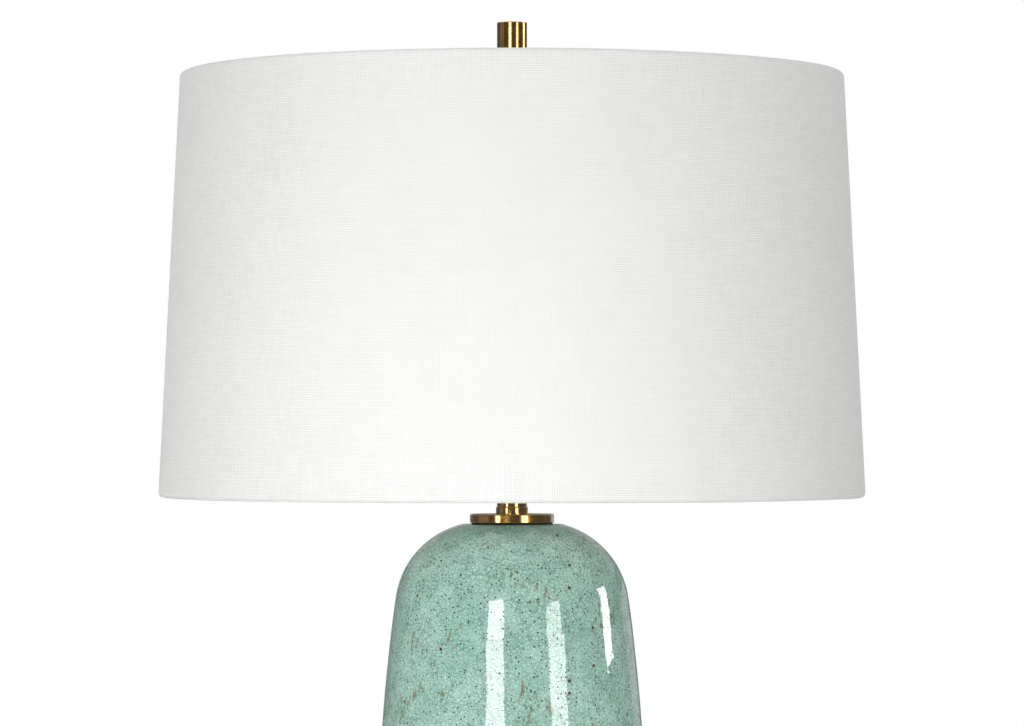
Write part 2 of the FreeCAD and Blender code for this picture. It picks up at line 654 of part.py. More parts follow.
# ---------------------------------------------------------------------------- the harp


def build_harp_saddle():
    """A bent steel strip with an ear at each end, and a tongue on each ear."""
    body = new_body("harp_saddle")
    bend = "size.saddle_bend"
    outer = "size.saddle_bend + size.saddle_thickness"
    out = "place.leg + size.saddle_thickness / 2"
    inn = "place.leg - size.saddle_thickness / 2"
    top = "place.ear_shoulder"
    right_side = [
        (out + " - (" + outer + ")", "place.neck_top", outer, "left"),
        (out, "place.neck_top + " + outer),
        (out, top),
        (inn, top),
        (inn, "place.neck_top + " + outer, bend, "right"),
        (inn + " - " + bend, "place.saddle_top"),
    ]
    left_side = [
        ("-(" + inn + ") + " + bend, "place.saddle_top", bend, "right"),
        ("-(" + inn + ")", "place.neck_top + " + outer),
        ("-(" + inn + ")", top),
        ("-(" + out + ")", top),
        ("-(" + out + ")", "place.neck_top + " + outer, outer, "left"),
        ("-(" + out + ") + " + outer, "place.neck_top"),
    ]
    strip = add_outline(body, "harp_saddle_bends", right_side + left_side)
    pad(body, "harp_saddle_strip", strip, "size.saddle_width", both_sides=True)
    hole = add_circles(body, "harp_saddle_hole", "XY_Plane", [("0", "0", "place.rod_hole")],
                       lift="place.saddle_top")
    pocket(body, "harp_saddle_hole_cut", hole, "size.saddle_thickness")
    for side, sign in (("left", "-"), ("right", "")):
        inner = "%s(place.leg - size.saddle_thickness / 2)" % sign
        outward = "%s(place.leg + size.saddle_thickness / 2)" % sign
        tongue = add_box_sketch(body, "harp_saddle_%s_tongue" % side, "XZ_Plane",
                                inner, outward, top, "place.ear_top")
        pad(body, "harp_saddle_%s_ear" % side, tongue, "size.ear_tab_width", both_sides=True)
    return body


def build_harp():
    """One bent wire from foot to foot, with a boss on its top that the stud turns in."""
    body = new_body("harp")
    hip = "size.harp_hip_arc"
    half = hip + " * (1 - cos(place.hip_angle))"
    side = [
        ("place.leg", "place.harp_bottom"),
        ("place.leg", "place.hip_bottom", hip, "right"),
        ("place.leg + " + half, "place.hip_bottom + place.hip_rise", hip, "left"),
        ("place.harp_half", "place.hip_bottom + 2 * place.hip_rise"),
        ("place.harp_half", "place.arch_bottom", "size.harp_side_arc", "left"),
        ("place.arch_across", "place.arch_join", "place.arch_arc", "left"),
    ]
    # The other side runs down the same corners, so each arc belongs to the corner above it.
    down = [("-size.harp_flat_half", "place.wire_top", "place.arch_arc", "left")]
    for above, here in zip(reversed(side), list(reversed(side))[1:]):
        down.append(("-(" + above[0] + ")", above[1]) + here[2:])
    down.append(("-place.leg", "place.harp_bottom"))
    spine = add_outline(body, "harp_line", side + [("size.harp_flat_half", "place.wire_top")]
                        + down, closed=False)
    wire = add_circles(body, "harp_wire", "XY_Plane",
                       [("place.leg", "0", "size.harp_wire_radius")], lift="place.harp_bottom")
    sweep(body, "harp_bow", wire, spine)
    boss_low = "place.wire_top - size.seat_height / 2"
    boss_high = "place.wire_top + size.seat_height / 2"
    boss = add_box_sketch(body, "harp_boss_section", "XZ_Plane",
                          "0", "size.seat_radius", boss_low, boss_high)
    turn(body, "harp_boss", boss)
    bore = add_circles(body, "harp_boss_bore", "XY_Plane",
                       [("0", "0", "size.rivet_radius + size.run_gap")], lift=boss_high)
    pocket(body, "harp_boss_bore_cut", bore, "size.seat_height")
    return body


def build_swivel_stud():
    """The stud that the shade sits on: riveted through the boss, free to turn."""
    shank = "size.rivet_radius"
    head_top = "place.wire_top - size.seat_height / 2 - size.slide_gap"
    head_bottom = head_top + " - size.rivet_head_height"
    return turned("swivel_stud", [
        ("0", head_bottom),
        ("size.rivet_head_radius", head_bottom),
        ("size.rivet_head_radius", head_top),
        (shank, head_top),
        (shank, "place.seat_top"),
        ("size.swivel_radius", "place.seat_top"),
        ("size.swivel_radius", "place.shade_seat"),
        ("size.stud_radius", "place.shade_seat"),
        ("size.stud_radius", "place.shade_seat + size.stud_length"),
        ("0", "place.shade_seat + size.stud_length"),
    ])


def build_harp_sleeve(side, sign):
    """A sleeve that drops over an ear's tongue and the foot of a leg, with a rolled lip."""
    body = new_body("harp_sleeve_" + side)
    lip = "place.sleeve_radius + size.sleeve_lip"
    high = "place.sleeve_bottom + size.sleeve_length"
    section = add_outline(body, "harp_sleeve_%s_section" % side, [
        ("place.sleeve_bore", "place.sleeve_bottom"),
        (lip, "place.sleeve_bottom"),
        (lip, "place.sleeve_bottom + size.sleeve_lip"),
        ("place.sleeve_radius", "place.sleeve_bottom + 2 * size.sleeve_lip"),
        ("place.sleeve_radius", high),
        ("place.sleeve_bore", high),
    ])
    turn(body, "harp_sleeve_%s_turn" % side, section)
    body.setExpression("Placement.Base.x", sign + "place.leg")
    return body


# ---------------------------------------------------------------------------- lamp holder


def build_holder_cap():
    """The lower cup of the lamp holder with its threaded hub and a hole for the set screw."""
    cup = "size.holder_cap_radius"
    wall = "size.shell_wall"
    bend = "size.holder_cap_round"
    bore = "size.rod_radius + size.glue_gap"
    body = turned("holder_cap", [
        (bore, "place.hub_bottom"),
        ("size.hub_radius", "place.hub_bottom"),
        ("size.hub_radius", "place.holder_bottom"),
        (cup + " - " + bend, "place.holder_bottom", bend, "left"),
        (cup, "place.holder_bottom + " + bend),
        (cup, "place.holder_rim"),
        (cup + " - " + wall, "place.holder_rim"),
        (cup + " - " + wall, "place.holder_bottom + " + bend, bend + " - " + wall, "right"),
        (cup + " - " + bend, "place.holder_floor"),
        (bore, "place.holder_floor"),
    ])
    hole = add_circles(body, "set_screw_hole", "XZ_Plane",
                       [("0", "place.hub_bottom + size.hub_height / 2",
                         "size.set_screw_radius + size.glue_gap")])
    pocket(body, "set_screw_hole_cut", hole, "size.hub_radius")
    return body


def cut_shaft_slot(body, name):
    """A slot for the switch shaft, open at the lower end so that the shell can be pulled off."""
    half = "(size.switch_shaft_radius + size.switch_slot_gap)"
    slot = add_outline(body, name, [
        ("-" + half, "place.shell_bottom"),
        (half, "place.shell_bottom"),
        (half, "place.switch_middle", half, "left"),
        ("0", "place.switch_middle + " + half, half, "left"),
        ("-" + half, "place.switch_middle"),
    ])
    pocket(body, name + "_cut", slot, "size.holder_cap_radius", reverse=True)


def build_holder_shell():
    """The brass upper shell and the fibre liner inside it, both slotted for the shaft."""
    shell = ring("holder_shell", "place.shell_radius - size.shell_wall", "place.shell_radius",
                 "place.shell_bottom", "place.shell_top")
    cut_shaft_slot(shell, "holder_shell_slot")
    liner = ring("holder_liner", "place.liner_radius - size.liner_wall", "place.liner_radius",
                 "place.shell_bottom", "place.shell_top - size.shell_wall")
    cut_shaft_slot(liner, "holder_liner_slot")


def build_switch_body():
    """The moulded core: wire room below, a pocket for each terminal and the shaft's bearing."""
    skirt = "size.core_radius - size.core_skirt_wall"
    hollow = "place.holder_floor + size.core_hollow_depth"
    body = turned("switch_body", [
        (skirt, "place.holder_floor"),
        ("size.core_radius", "place.holder_floor"),
        ("size.core_radius", "place.core_top"),
        ("0", "place.core_top"),
        ("0", hollow),
        (skirt, hollow),
    ])
    half = "size.terminal_pocket / 2"
    low = "place.terminal_middle - " + half
    high = "place.terminal_middle + " + half
    face = "size.core_radius - size.terminal_pocket_depth"
    for side, sign in (("left", "-"), ("right", "")):
        recess = add_box_sketch(body, "terminal_recess_" + side, "XZ_Plane",
                                sign + "(" + face + ")", sign + "(size.core_radius + 1)",
                                low, high)
        pocket(body, "terminal_recess_%s_cut" % side, recess, "size.terminal_pocket",
               both_sides=True)
    across = add_circles(body, "terminal_holes", "YZ_Plane",
                         [("0", "place.terminal_middle",
                           "size.terminal_shank_radius + size.glue_gap")])
    pocket(body, "terminal_holes_cut", across, "2 * size.core_radius", both_sides=True)
    bearing = add_circles(body, "shaft_bearing", "XZ_Plane",
                          [("0", "place.switch_middle", "size.switch_shaft_radius + size.run_gap")],
                          lift="place.shaft_inner - size.slide_gap")
    pocket(body, "shaft_bearing_cut", bearing, "size.core_radius", reverse=True)
    return body


def build_terminal_screws():
    """Two screws, one in each side of the core, joined to nothing else."""
    body = new_body("terminal_screw")
    face = "size.core_radius - size.terminal_pocket_depth"
    shank = "size.terminal_shank_radius"
    section = add_outline(body, "terminal_screw_section", [
        (face + " - size.terminal_shank_length", "0"),
        (face + " + size.terminal_head_height", "0"),
        (face + " + size.terminal_head_height", "size.terminal_head_radius"),
        (face, "size.terminal_head_radius"),
        (face, shank),
        (face + " - size.terminal_shank_length", shank),
    ], plane="XY_Plane")
    turn(body, "terminal_screw_turn", section, axis="H_Axis")
    pair = doc.addObject("Part::Compound", "terminal_screws")
    other = doc.addObject("Part::Mirroring", "terminal_screw_left")
    other.Source = body
    other.Base = FreeCAD.Vector(0, 0, 0)
    other.Normal = FreeCAD.Vector(1, 0, 0)
    pair.Links = [body, other]
    pair.setExpression("Placement.Base.z", "place.terminal_middle")
    return pair


def build_screw_shell():
    """The threaded shell that takes the bulb, with a hole in its floor for the contact."""
    inner = "size.screw_shell_radius - size.screw_shell_wall"
    return turned("screw_shell", [
        ("size.screw_shell_hole", "place.core_top"),
        ("size.screw_shell_radius", "place.core_top"),
        ("size.screw_shell_radius", "place.screw_shell_top"),
        (inner, "place.screw_shell_top"),
        (inner, "place.core_top + size.screw_shell_wall"),
        ("size.screw_shell_hole", "place.core_top + size.screw_shell_wall"),
    ])


def build_centre_contact():
    """A spring strip on the core, flat at one end and raised under the bulb."""
    body = new_body("centre_contact")
    thick = "size.contact_thickness"
    reach = "size.contact_reach"
    strip = add_outline(body, "centre_contact_bends", [
        ("-" + reach, "place.core_top"),
        ("0", "place.core_top"),
        (reach + " / 2", "place.core_top + size.contact_lift - " + thick),
        (reach, "place.core_top + size.contact_lift - " + thick),
        (reach, "place.core_top + size.contact_lift"),
        (reach + " / 2 - " + thick, "place.core_top + size.contact_lift"),
        ("-" + thick, "place.core_top + " + thick),
        ("-" + reach, "place.core_top + " + thick),
    ])
    pad(body, "centre_contact_strip", strip, "size.contact_width", both_sides=True)
    return body


def build_set_screw():
    body = new_body("hub_set_screw")
    outline = add_circles(body, "hub_set_screw_outline", "XZ_Plane",
                          [("0", "place.hub_bottom + size.hub_height / 2",
                            "size.set_screw_radius")],
                          lift="-(size.rod_radius + size.glue_gap)")
    pad(body, "hub_set_screw_pad", outline, "size.set_screw_length", reverse=True)
    return body


def build_switch_shaft():
    """The steel shaft that the knob turns, from the core out to the front."""
    body = new_body("switch_shaft")
    outline = add_circles(body, "switch_shaft_outline", "XZ_Plane",
                          [("0", "place.switch_middle", "size.switch_shaft_radius")],
                          lift="place.shaft_inner")
    pad(body, "switch_shaft_pad", outline,
        "place.knob_inner + size.knob_shaft_hold - place.shaft_inner")
    return body


def build_switch_knob():
    """A fluted knob, turned upright on the Z axis and laid over on its shaft."""
    body = new_body("switch_knob")
    edge = "size.knob_end_round"
    bore = "size.switch_shaft_radius + size.glue_gap"
    section = add_outline(body, "switch_knob_section", [
        (bore, "0"),
        ("size.knob_radius", "0"),
        ("size.knob_radius", "size.knob_length - " + edge, edge, "left"),
        ("size.knob_radius - " + edge, "size.knob_length"),
        ("0", "size.knob_length"),
        ("0", "size.knob_shaft_hold"),
        (bore, "size.knob_shaft_hold"),
    ])
    turn(body, "switch_knob_turn", section)
    groove = add_circles(body, "switch_knob_groove", "XY_Plane",
                         [("size.knob_radius + size.knob_flute_radius / 2", "0",
                           "size.knob_flute_radius")])
    flute = pocket(body, "switch_knob_flute", groove, "size.knob_length", reverse=True)
    repeat_round(body, "switch_knob_flutes", flute, "size.knob_flutes")
    body.Placement.Rotation = FreeCAD.Rotation(FreeCAD.Vector(1, 0, 0), 90)
    body.setExpression("Placement.Base.y", "-place.knob_inner")
    body.setExpression("Placement.Base.z", "place.switch_middle")
    return body


# ---------------------------------------------------------------------------- the bulb


def build_bulb():
    """Contact, black glass, screw cap and the glass envelope."""
    disc("bulb_contact", "size.bulb_tip_radius", "place.bulb_bottom", "place.bulb_ring_bottom")
    turned("bulb_insulator", [
        ("0", "place.bulb_ring_bottom"),
        ("size.bulb_ring_foot", "place.bulb_ring_bottom"),
        ("size.bulb_ring_top", "place.bulb_cap_bottom"),
        ("0", "place.bulb_cap_bottom"),
    ])
    wall = "size.bulb_cap_wall"
    slope = "place.bulb_cap_bottom + size.bulb_cap_slope"
    turned("bulb_cap", [
        ("size.bulb_ring_top - " + wall, "place.bulb_cap_bottom"),
        ("size.bulb_ring_top", "place.bulb_cap_bottom"),
        ("place.bulb_cap_radius", slope),
        ("place.bulb_cap_radius", "place.bulb_cap_top"),
        ("place.bulb_cap_radius - " + wall, "place.bulb_cap_top"),
        ("place.bulb_cap_radius - " + wall, slope),
    ])
    join = "cos(place.neck_angle)"
    drop = "sin(place.neck_angle)"
    inner = "(size.bulb_radius - size.bulb_wall)"
    turned("bulb_glass", [
        ("place.bulb_neck - size.bulb_wall", "place.glass_bottom"),
        ("place.bulb_neck", "place.glass_bottom"),
        ("place.bulb_neck", "place.bulb_cap_top", "place.neck_arc", "right"),
        ("size.bulb_radius * " + join, "place.glass_centre - size.bulb_radius * " + drop,
         "size.bulb_radius", "left"),
        ("size.bulb_radius", "place.glass_centre", "size.bulb_radius", "left"),
        ("0", "place.glass_centre + size.bulb_radius"),
        ("0", "place.glass_centre + " + inner, inner, "right"),
        (inner, "place.glass_centre", inner, "right"),
        (inner + " * " + join, "place.glass_centre - " + inner + " * " + drop,
         "place.neck_arc + size.bulb_wall", "left"),
        ("place.bulb_neck - size.bulb_wall", "place.bulb_cap_top"),
    ])


# ---------------------------------------------------------------------------- the shade


def at_rim(rim, inset):
    """Radius at a rim's ring height, inwards from the linen's face by an expression."""
    return "place.rim_%s_radius - (%s)" % (rim, inset)


def build_shade_linen():
    """The linen cover: one skin that turns in round the ring and back down at both rims."""
    cloth = "size.linen_thickness"
    fold = "(place.rim_round - size.linen_thickness)"
    deep_high = "place.rim_high - size.hem_depth"
    deep_low = "place.rim_low + size.hem_depth"
    lean = " + place.shade_lean * size.hem_depth"
    body = turned("shade_linen", [
        ("place.rim_low_radius", "place.rim_low"),
        ("place.rim_high_radius", "place.rim_high", "place.rim_round", "left"),
        (at_rim("high", "place.rim_round"), "place.shade_top", "place.rim_round", "left"),
        (at_rim("high", "place.rim_width"), "place.rim_high"),
        (at_rim("high", "place.rim_width") + lean, deep_high),
        (at_rim("high", "place.rim_width - " + cloth) + lean, deep_high),
        (at_rim("high", "place.rim_width - " + cloth), "place.rim_high", fold, "right"),
        (at_rim("high", "place.rim_round"), "place.shade_top - " + cloth, fold, "right"),
        (at_rim("high", cloth), "place.rim_high"),
        (at_rim("low", cloth), "place.rim_low", fold, "right"),
        (at_rim("low", "place.rim_round"), "place.shade_bottom + " + cloth, fold, "right"),
        (at_rim("low", "place.rim_width - " + cloth), "place.rim_low"),
        (at_rim("low", "place.rim_width - " + cloth + lean), deep_low),
        (at_rim("low", "place.rim_width" + lean), deep_low),
        (at_rim("low", "place.rim_width"), "place.rim_low", "place.rim_round", "left"),
        (at_rim("low", "place.rim_round"), "place.shade_bottom", "place.rim_round", "left"),
    ])
    half = "(size.arm_wire_radius + size.arm_notch_gap)"
    notch = add_box_sketch(body, "arm_notch", "YZ_Plane", "-" + half, half,
                           deep_high + " - 1", "place.notch_top",
                           lift="place.rim_high_radius - place.ring_inset")
    cut = pocket(body, "arm_notch_cut", notch, "place.rim_width")
    repeat_round(body, "arm_notches", cut, "size.arm_count")
    return body


def build_shade_backing():
    """The stiff backing inside the linen, from ring to ring."""
    inner = "place.liner_inset + size.liner_thickness"
    return turned("shade_backing", [
        (at_rim("low", "place.liner_inset"), "place.rim_low"),
        (at_rim("high", "place.liner_inset"), "place.rim_high"),
        (at_rim("high", inner), "place.rim_high"),
        (at_rim("low", inner), "place.rim_low"),
    ])


def build_shade_ring(label, rim):
    """A ring of round wire in the shade's upper or lower rim."""
    body = new_body(label)
    wire = add_circles(body, label + "_wire", "XZ_Plane",
                       [(at_rim(rim, "place.ring_inset"), "place.rim_" + rim,
                         "size.ring_wire_radius")])
    turn(body, label + "_turn", wire)
    return body


def build_shade_spider():
    """The washer that sits on the stud, and three arms that rise to their welds on the ring."""
    body = new_body("shade_spider")
    washer = add_box_sketch(body, "spider_washer_section", "XZ_Plane",
                            "size.stud_radius + size.hub_washer_gap", "size.hub_washer_radius",
                            "place.hub_washer_bottom",
                            "place.hub_washer_bottom + size.hub_washer_thickness")
    turn(body, "spider_washer", washer)
    cut = "place.arm_cut"
    line = add_outline(body, "spider_arm_line", [
        ("size.arm_start_radius", "place.arm_level"),
        ("place.arm_corner - " + cut, "place.arm_level", "size.arm_bend", "left"),
        ("place.arm_corner + " + cut + " * cos(size.arm_rise_angle)",
         "place.arm_level + " + cut + " * sin(size.arm_rise_angle)"),
        ("place.arm_end - place.arm_weld * cos(size.arm_rise_angle)",
         "place.rim_high - place.arm_weld * sin(size.arm_rise_angle)"),
    ], closed=False)
    wire = add_circles(body, "spider_arm_wire", "YZ_Plane",
                       [("0", "place.arm_level", "size.arm_wire_radius")],
                       lift="size.arm_start_radius")
    arm = sweep(body, "spider_arm", wire, line)
    repeat_round(body, "spider_arms", arm, "size.arm_count")
    return body


# ---------------------------------------------------------------------------- the finial


def build_finial():
    """A turned brass cylinder on a small foot, bored for the stud."""
    edge = "size.finial_edge_round"
    bore = "size.stud_radius + size.run_gap"
    low = "place.finial_seat"
    top = "place.finial_seat + size.finial_height"
    step = "place.finial_seat + size.finial_foot_height"
    radius = "size.finial_radius"
    return turned("finial", [
        (bore, low),
        ("size.finial_foot_radius", low),
        ("size.finial_foot_radius", step),
        (radius + " - " + edge, step, edge, "left"),
        (radius, step + " + " + edge),
        (radius, top + " - " + edge, edge, "left"),
        (radius + " - " + edge, top),
        ("0", top),
        ("0", low + " + size.finial_bore_depth"),
        (bore, low + " + size.finial_bore_depth"),
    ])


# ---------------------------------------------------------------------------- the lamp

build_felt_pad()
build_lamp_foot()
build_foot_weight()
build_cord_bushing()
ring("foot_washer", "place.rod_hole", "size.washer_radius",
     "place.washer_bottom", "place.weight_bottom")
hex_nut("foot_nut", "place.foot_nut_bottom", "place.washer_bottom")
build_threaded_rod()
build_ginger_jar()
build_gaskets()
build_vase_cap()
build_neck()
build_harp_saddle()
hex_nut("saddle_nut", "place.saddle_top", "place.hub_bottom")
build_harp()
build_swivel_stud()
build_harp_sleeve("left", "-")
build_harp_sleeve("right", "")
build_holder_cap()
build_holder_shell()
build_switch_body()
build_terminal_screws()
build_screw_shell()
build_centre_contact()
build_set_screw()
build_switch_shaft()
build_switch_knob()
build_bulb()
build_shade_linen()
build_shade_backing()
build_shade_ring("shade_top_ring", "high")
build_shade_ring("shade_bottom_ring", "low")
build_shade_spider()
build_finial()
doc.recompute()

# Bodies and the screws' group are the lamp's pieces; the one screw in a body of its own is not.
PIECES = [item for item in doc.Objects
          if item.TypeId in ("PartDesign::Body", "Part::Compound")
          and item.Label != "terminal_screw"]

for item in doc.Objects:
    if "Invalid" in item.State or "Error" in item.State:
        raise RuntimeError("%s did not build: %s" % (item.Name, item.State))
for piece in PIECES:
    if piece.Shape.isNull() or not piece.Shape.isValid():
        raise RuntimeError("%s has no valid shape" % piece.Label)

os.makedirs("parts", exist_ok=True)
for piece in PIECES:
    piece.Shape.exportStep("parts/%s.step" % piece.Label)
    print("%-20s %2d solid, %10.1f mm3" % (piece.Label, len(piece.Shape.Solids),
                                           piece.Shape.Volume))
print(len(PIECES), "pieces")
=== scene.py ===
"""The looks of a ginger jar table lamp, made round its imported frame.

Blender works in metres here. Z is up, the lamp stands on the Z axis and its front is the -Y side.
Sections and sizes of pieces are written in millimetres and become metres in place_mesh.
"""

import json
import logging
import math
from dataclasses import dataclass
from enum import Enum
from typing import Any, Mapping, Sequence

import bpy
import numpy as np
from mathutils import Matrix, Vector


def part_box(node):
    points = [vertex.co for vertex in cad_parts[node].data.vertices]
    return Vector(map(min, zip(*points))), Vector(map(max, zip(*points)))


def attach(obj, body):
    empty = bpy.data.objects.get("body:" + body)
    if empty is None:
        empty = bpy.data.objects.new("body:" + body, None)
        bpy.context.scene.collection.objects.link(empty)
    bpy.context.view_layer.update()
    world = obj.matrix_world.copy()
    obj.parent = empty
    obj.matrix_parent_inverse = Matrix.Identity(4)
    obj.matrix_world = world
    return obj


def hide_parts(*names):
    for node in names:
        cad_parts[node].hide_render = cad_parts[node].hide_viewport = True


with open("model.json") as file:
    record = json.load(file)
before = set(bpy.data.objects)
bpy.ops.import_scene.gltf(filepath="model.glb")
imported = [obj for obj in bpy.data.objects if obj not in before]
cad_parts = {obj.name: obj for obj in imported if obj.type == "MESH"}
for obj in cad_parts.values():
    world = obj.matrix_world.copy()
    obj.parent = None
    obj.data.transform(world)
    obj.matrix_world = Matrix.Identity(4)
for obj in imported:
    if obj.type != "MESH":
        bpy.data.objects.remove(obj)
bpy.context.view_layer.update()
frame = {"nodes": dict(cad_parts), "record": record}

LOG = logging.getLogger("ginger_jar_lamp")

MM = 0.001
FULL_TURN = 2 * math.pi
WHITE = (1.0, 1.0, 1.0, 1.0)
SHARP_EDGE = math.radians(38)  # an edge that turns by more than this stays crisp
PAPER_WHITE = 4.0  # W/m2, the power of a panel that is as bright as white paper

Colour = tuple[float, float, float, float]
Span = tuple[float, float]
Points = np.ndarray
Piece = bpy.types.Object
Tree = bpy.types.NodeTree
Node = bpy.types.Node
Socket = bpy.types.NodeSocket


class Slot(Enum):
    """The record's material slots."""

    FELT = "felt"
    ANTIQUE_BRASS = "antique_brass"
    CAST_IRON = "cast_iron"
    ZINC_STEEL = "zinc_steel"
    PLATED_WIRE = "plated_wire"
    BUSHING_PLASTIC = "bushing_plastic"
    RUBBER = "rubber"
    CRACKLE_GLAZE = "crackle_glaze"
    FIBRE = "fibre"
    PHENOLIC = "phenolic"
    KNOB_PLASTIC = "knob_plastic"
    CONTACT_BRASS = "contact_brass"
    BULB_ALUMINIUM = "bulb_aluminium"
    BULB_BLACK_GLASS = "bulb_black_glass"
    BULB_FROSTED = "bulb_frosted"
    LINEN = "linen"
    SHADE_BACKING = "shade_backing"
    WHITE_WIRE = "white_wire"


class Body(Enum):
    """The bodies of the frame that new pieces ride on."""

    BASE = "base"
    BULB = "bulb"
    SHADE = "shade"


# ------------------------------------------------------------------------------ materials


def linear(hex_code: str) -> Colour:
    """Turns an sRGB hex colour into linear red, green, blue and alpha."""
    channels = [int(hex_code[place:place + 2], 16) / 255 for place in (1, 3, 5)]
    red, green, blue = (
        value / 12.92 if value <= 0.04045 else ((value + 0.055) / 1.055) ** 2.4
        for value in channels
    )
    return red, green, blue, 1.0


def per(size: float) -> float:
    """The scale that gives a texture features of a size in millimetres."""
    return 1 / (size * MM)


def add_node(tree: Tree, kind: str, settings: Mapping[Any, Any] | None = None,
             links: Mapping[Any, Socket] | None = None) -> Node:
    """Adds one node to a material's tree.

    Args:
        tree: The node tree.
        kind: Blender's name for the kind of node.
        settings: What to set, by the node's own property or by its input's name or number.
        links: The sockets that feed its inputs, by the input's name or number.

    Returns:
        The new node.
    """
    node = tree.nodes.new(kind)
    for key, setting in (settings or {}).items():
        if isinstance(key, str) and hasattr(node, key):
            setattr(node, key, setting)
        else:
            node.inputs[key].default_value = setting
    for key, socket in (links or {}).items():
        tree.links.new(socket, node.inputs[key])
    return node


def bare_material(name: str) -> tuple[bpy.types.Material, Tree]:
    """Makes a material without nodes, and gives its tree too."""
    material = bpy.data.materials.new(name)
    material.use_nodes = True
    material.node_tree.nodes.clear()
    return material, material.node_tree


def noise_in_range(tree: Tree, place: Socket, size: float, detail: float, span: Span,
                   to: Span = (0.0, 1.0)) -> Socket:
    """A noise whose middle span is stretched over a range and clipped to it.

    Args:
        tree: The material's tree.
        place: Where the noise is looked up.
        size: The size of its largest features in millimetres.
        detail: Its octaves.
        span: The two noise values that become the ends of the range.
        to: The range.

    Returns:
        The stretched noise.
    """
    noise = add_node(tree, "ShaderNodeTexNoise", {"Scale": per(size), "Detail": detail},
                     {"Vector": place}).outputs[0]
    return add_node(tree, "ShaderNodeMapRange",
                    {"From Min": span[0], "From Max": span[1], "To Min": to[0], "To Max": to[1]},
                    {"Value": noise}).outputs[0]


def greater(tree: Tree, first: Socket, *others: Socket) -> Socket:
    """The greatest of several values."""
    for other in others:
        first = add_node(tree, "ShaderNodeMath", {"operation": "MAXIMUM"},
                         {0: first, 1: other}).outputs[0]
    return first


def seen_directly(tree: Tree) -> Socket:
    """A socket that is 1 for rays of the camera, of gloss and through glass."""
    rays = add_node(tree, "ShaderNodeLightPath").outputs
    return greater(tree, rays["Is Camera Ray"], rays["Is Transmission Ray"],
                   rays["Is Glossy Ray"])


@dataclass(frozen=True)
class Finish:
    """A finish of one material: two close tones in soft clouds, and a fine grain.

    The grain is a noise whose size is given for each axis, so that a long one draws scratches or
    lathe marks. It moves the roughness between two values and raises the surface by its depth.
    """

    name: str
    colour: str
    second: str
    clouds: float  # mm, size of the soft variation
    roughness: Span
    grain: tuple[float, float, float]  # mm, size of the grain along X, Y and Z
    depth: float  # mm, height of the grain
    metallic: float = 0.0
    extras: tuple[tuple[str, float], ...] = ()

    def build(self) -> bpy.types.Material:
        """Makes the material.

        Returns:
            The finished material.
        """
        material, tree = bare_material(self.name)
        settings = {"Metallic": self.metallic, **dict(self.extras)}
        shader = add_node(tree, "ShaderNodeBsdfPrincipled", settings)
        add_node(tree, "ShaderNodeOutputMaterial", links={"Surface": shader.outputs[0]})
        self.pattern(tree, shader)
        return material

    def pattern(self, tree: Tree, shader: Node) -> None:
        """Feeds the shader's colour, roughness and bump.

        Args:
            tree: The material's tree.
            shader: Its Principled node.
        """
        here = add_node(tree, "ShaderNodeTexCoord").outputs["Object"]
        colour = self.clouded(tree, here, 3.0, (0.35, 0.65))
        scaled = add_node(tree, "ShaderNodeMapping", {"Scale": [per(size) for size in self.grain]},
                          {"Vector": here}).outputs[0]
        grain = add_node(tree, "ShaderNodeTexNoise", {"Scale": 1.0, "Detail": 4.0},
                         {"Vector": scaled}).outputs[0]
        rough = add_node(tree, "ShaderNodeMapRange",
                         {"From Min": 0.3, "From Max": 0.7,
                          "To Min": self.roughness[0], "To Max": self.roughness[1]},
                         {"Value": grain}).outputs[0]
        bump = add_node(tree, "ShaderNodeBump", {"Distance": self.depth * MM},
                        {"Height": grain}).outputs[0]
        self.feed(tree, shader, colour, rough, bump)

    def clouded(self, tree: Tree, here: Socket, detail: float, span: Span) -> Socket:
        """The two tones, mixed in clouds.

        Args:
            tree: The material's tree.
            here: The place on the piece.
            detail: The octaves of the clouds.
            span: The noise values at which each tone is pure.

        Returns:
            The colour socket.
        """
        share = noise_in_range(tree, here, self.clouds, detail, span)
        return add_node(tree, "ShaderNodeMix",
                        {"data_type": "RGBA", 6: linear(self.colour), 7: linear(self.second)},
                        {0: share}).outputs[2]

    @staticmethod
    def feed(tree: Tree, shader: Node, colour: Socket, rough: Socket, normal: Socket) -> None:
        """Links a pattern's three results to the shader."""
        for name, socket in (("Base Color", colour), ("Roughness", rough), ("Normal", normal)):
            tree.links.new(socket, shader.inputs[name])


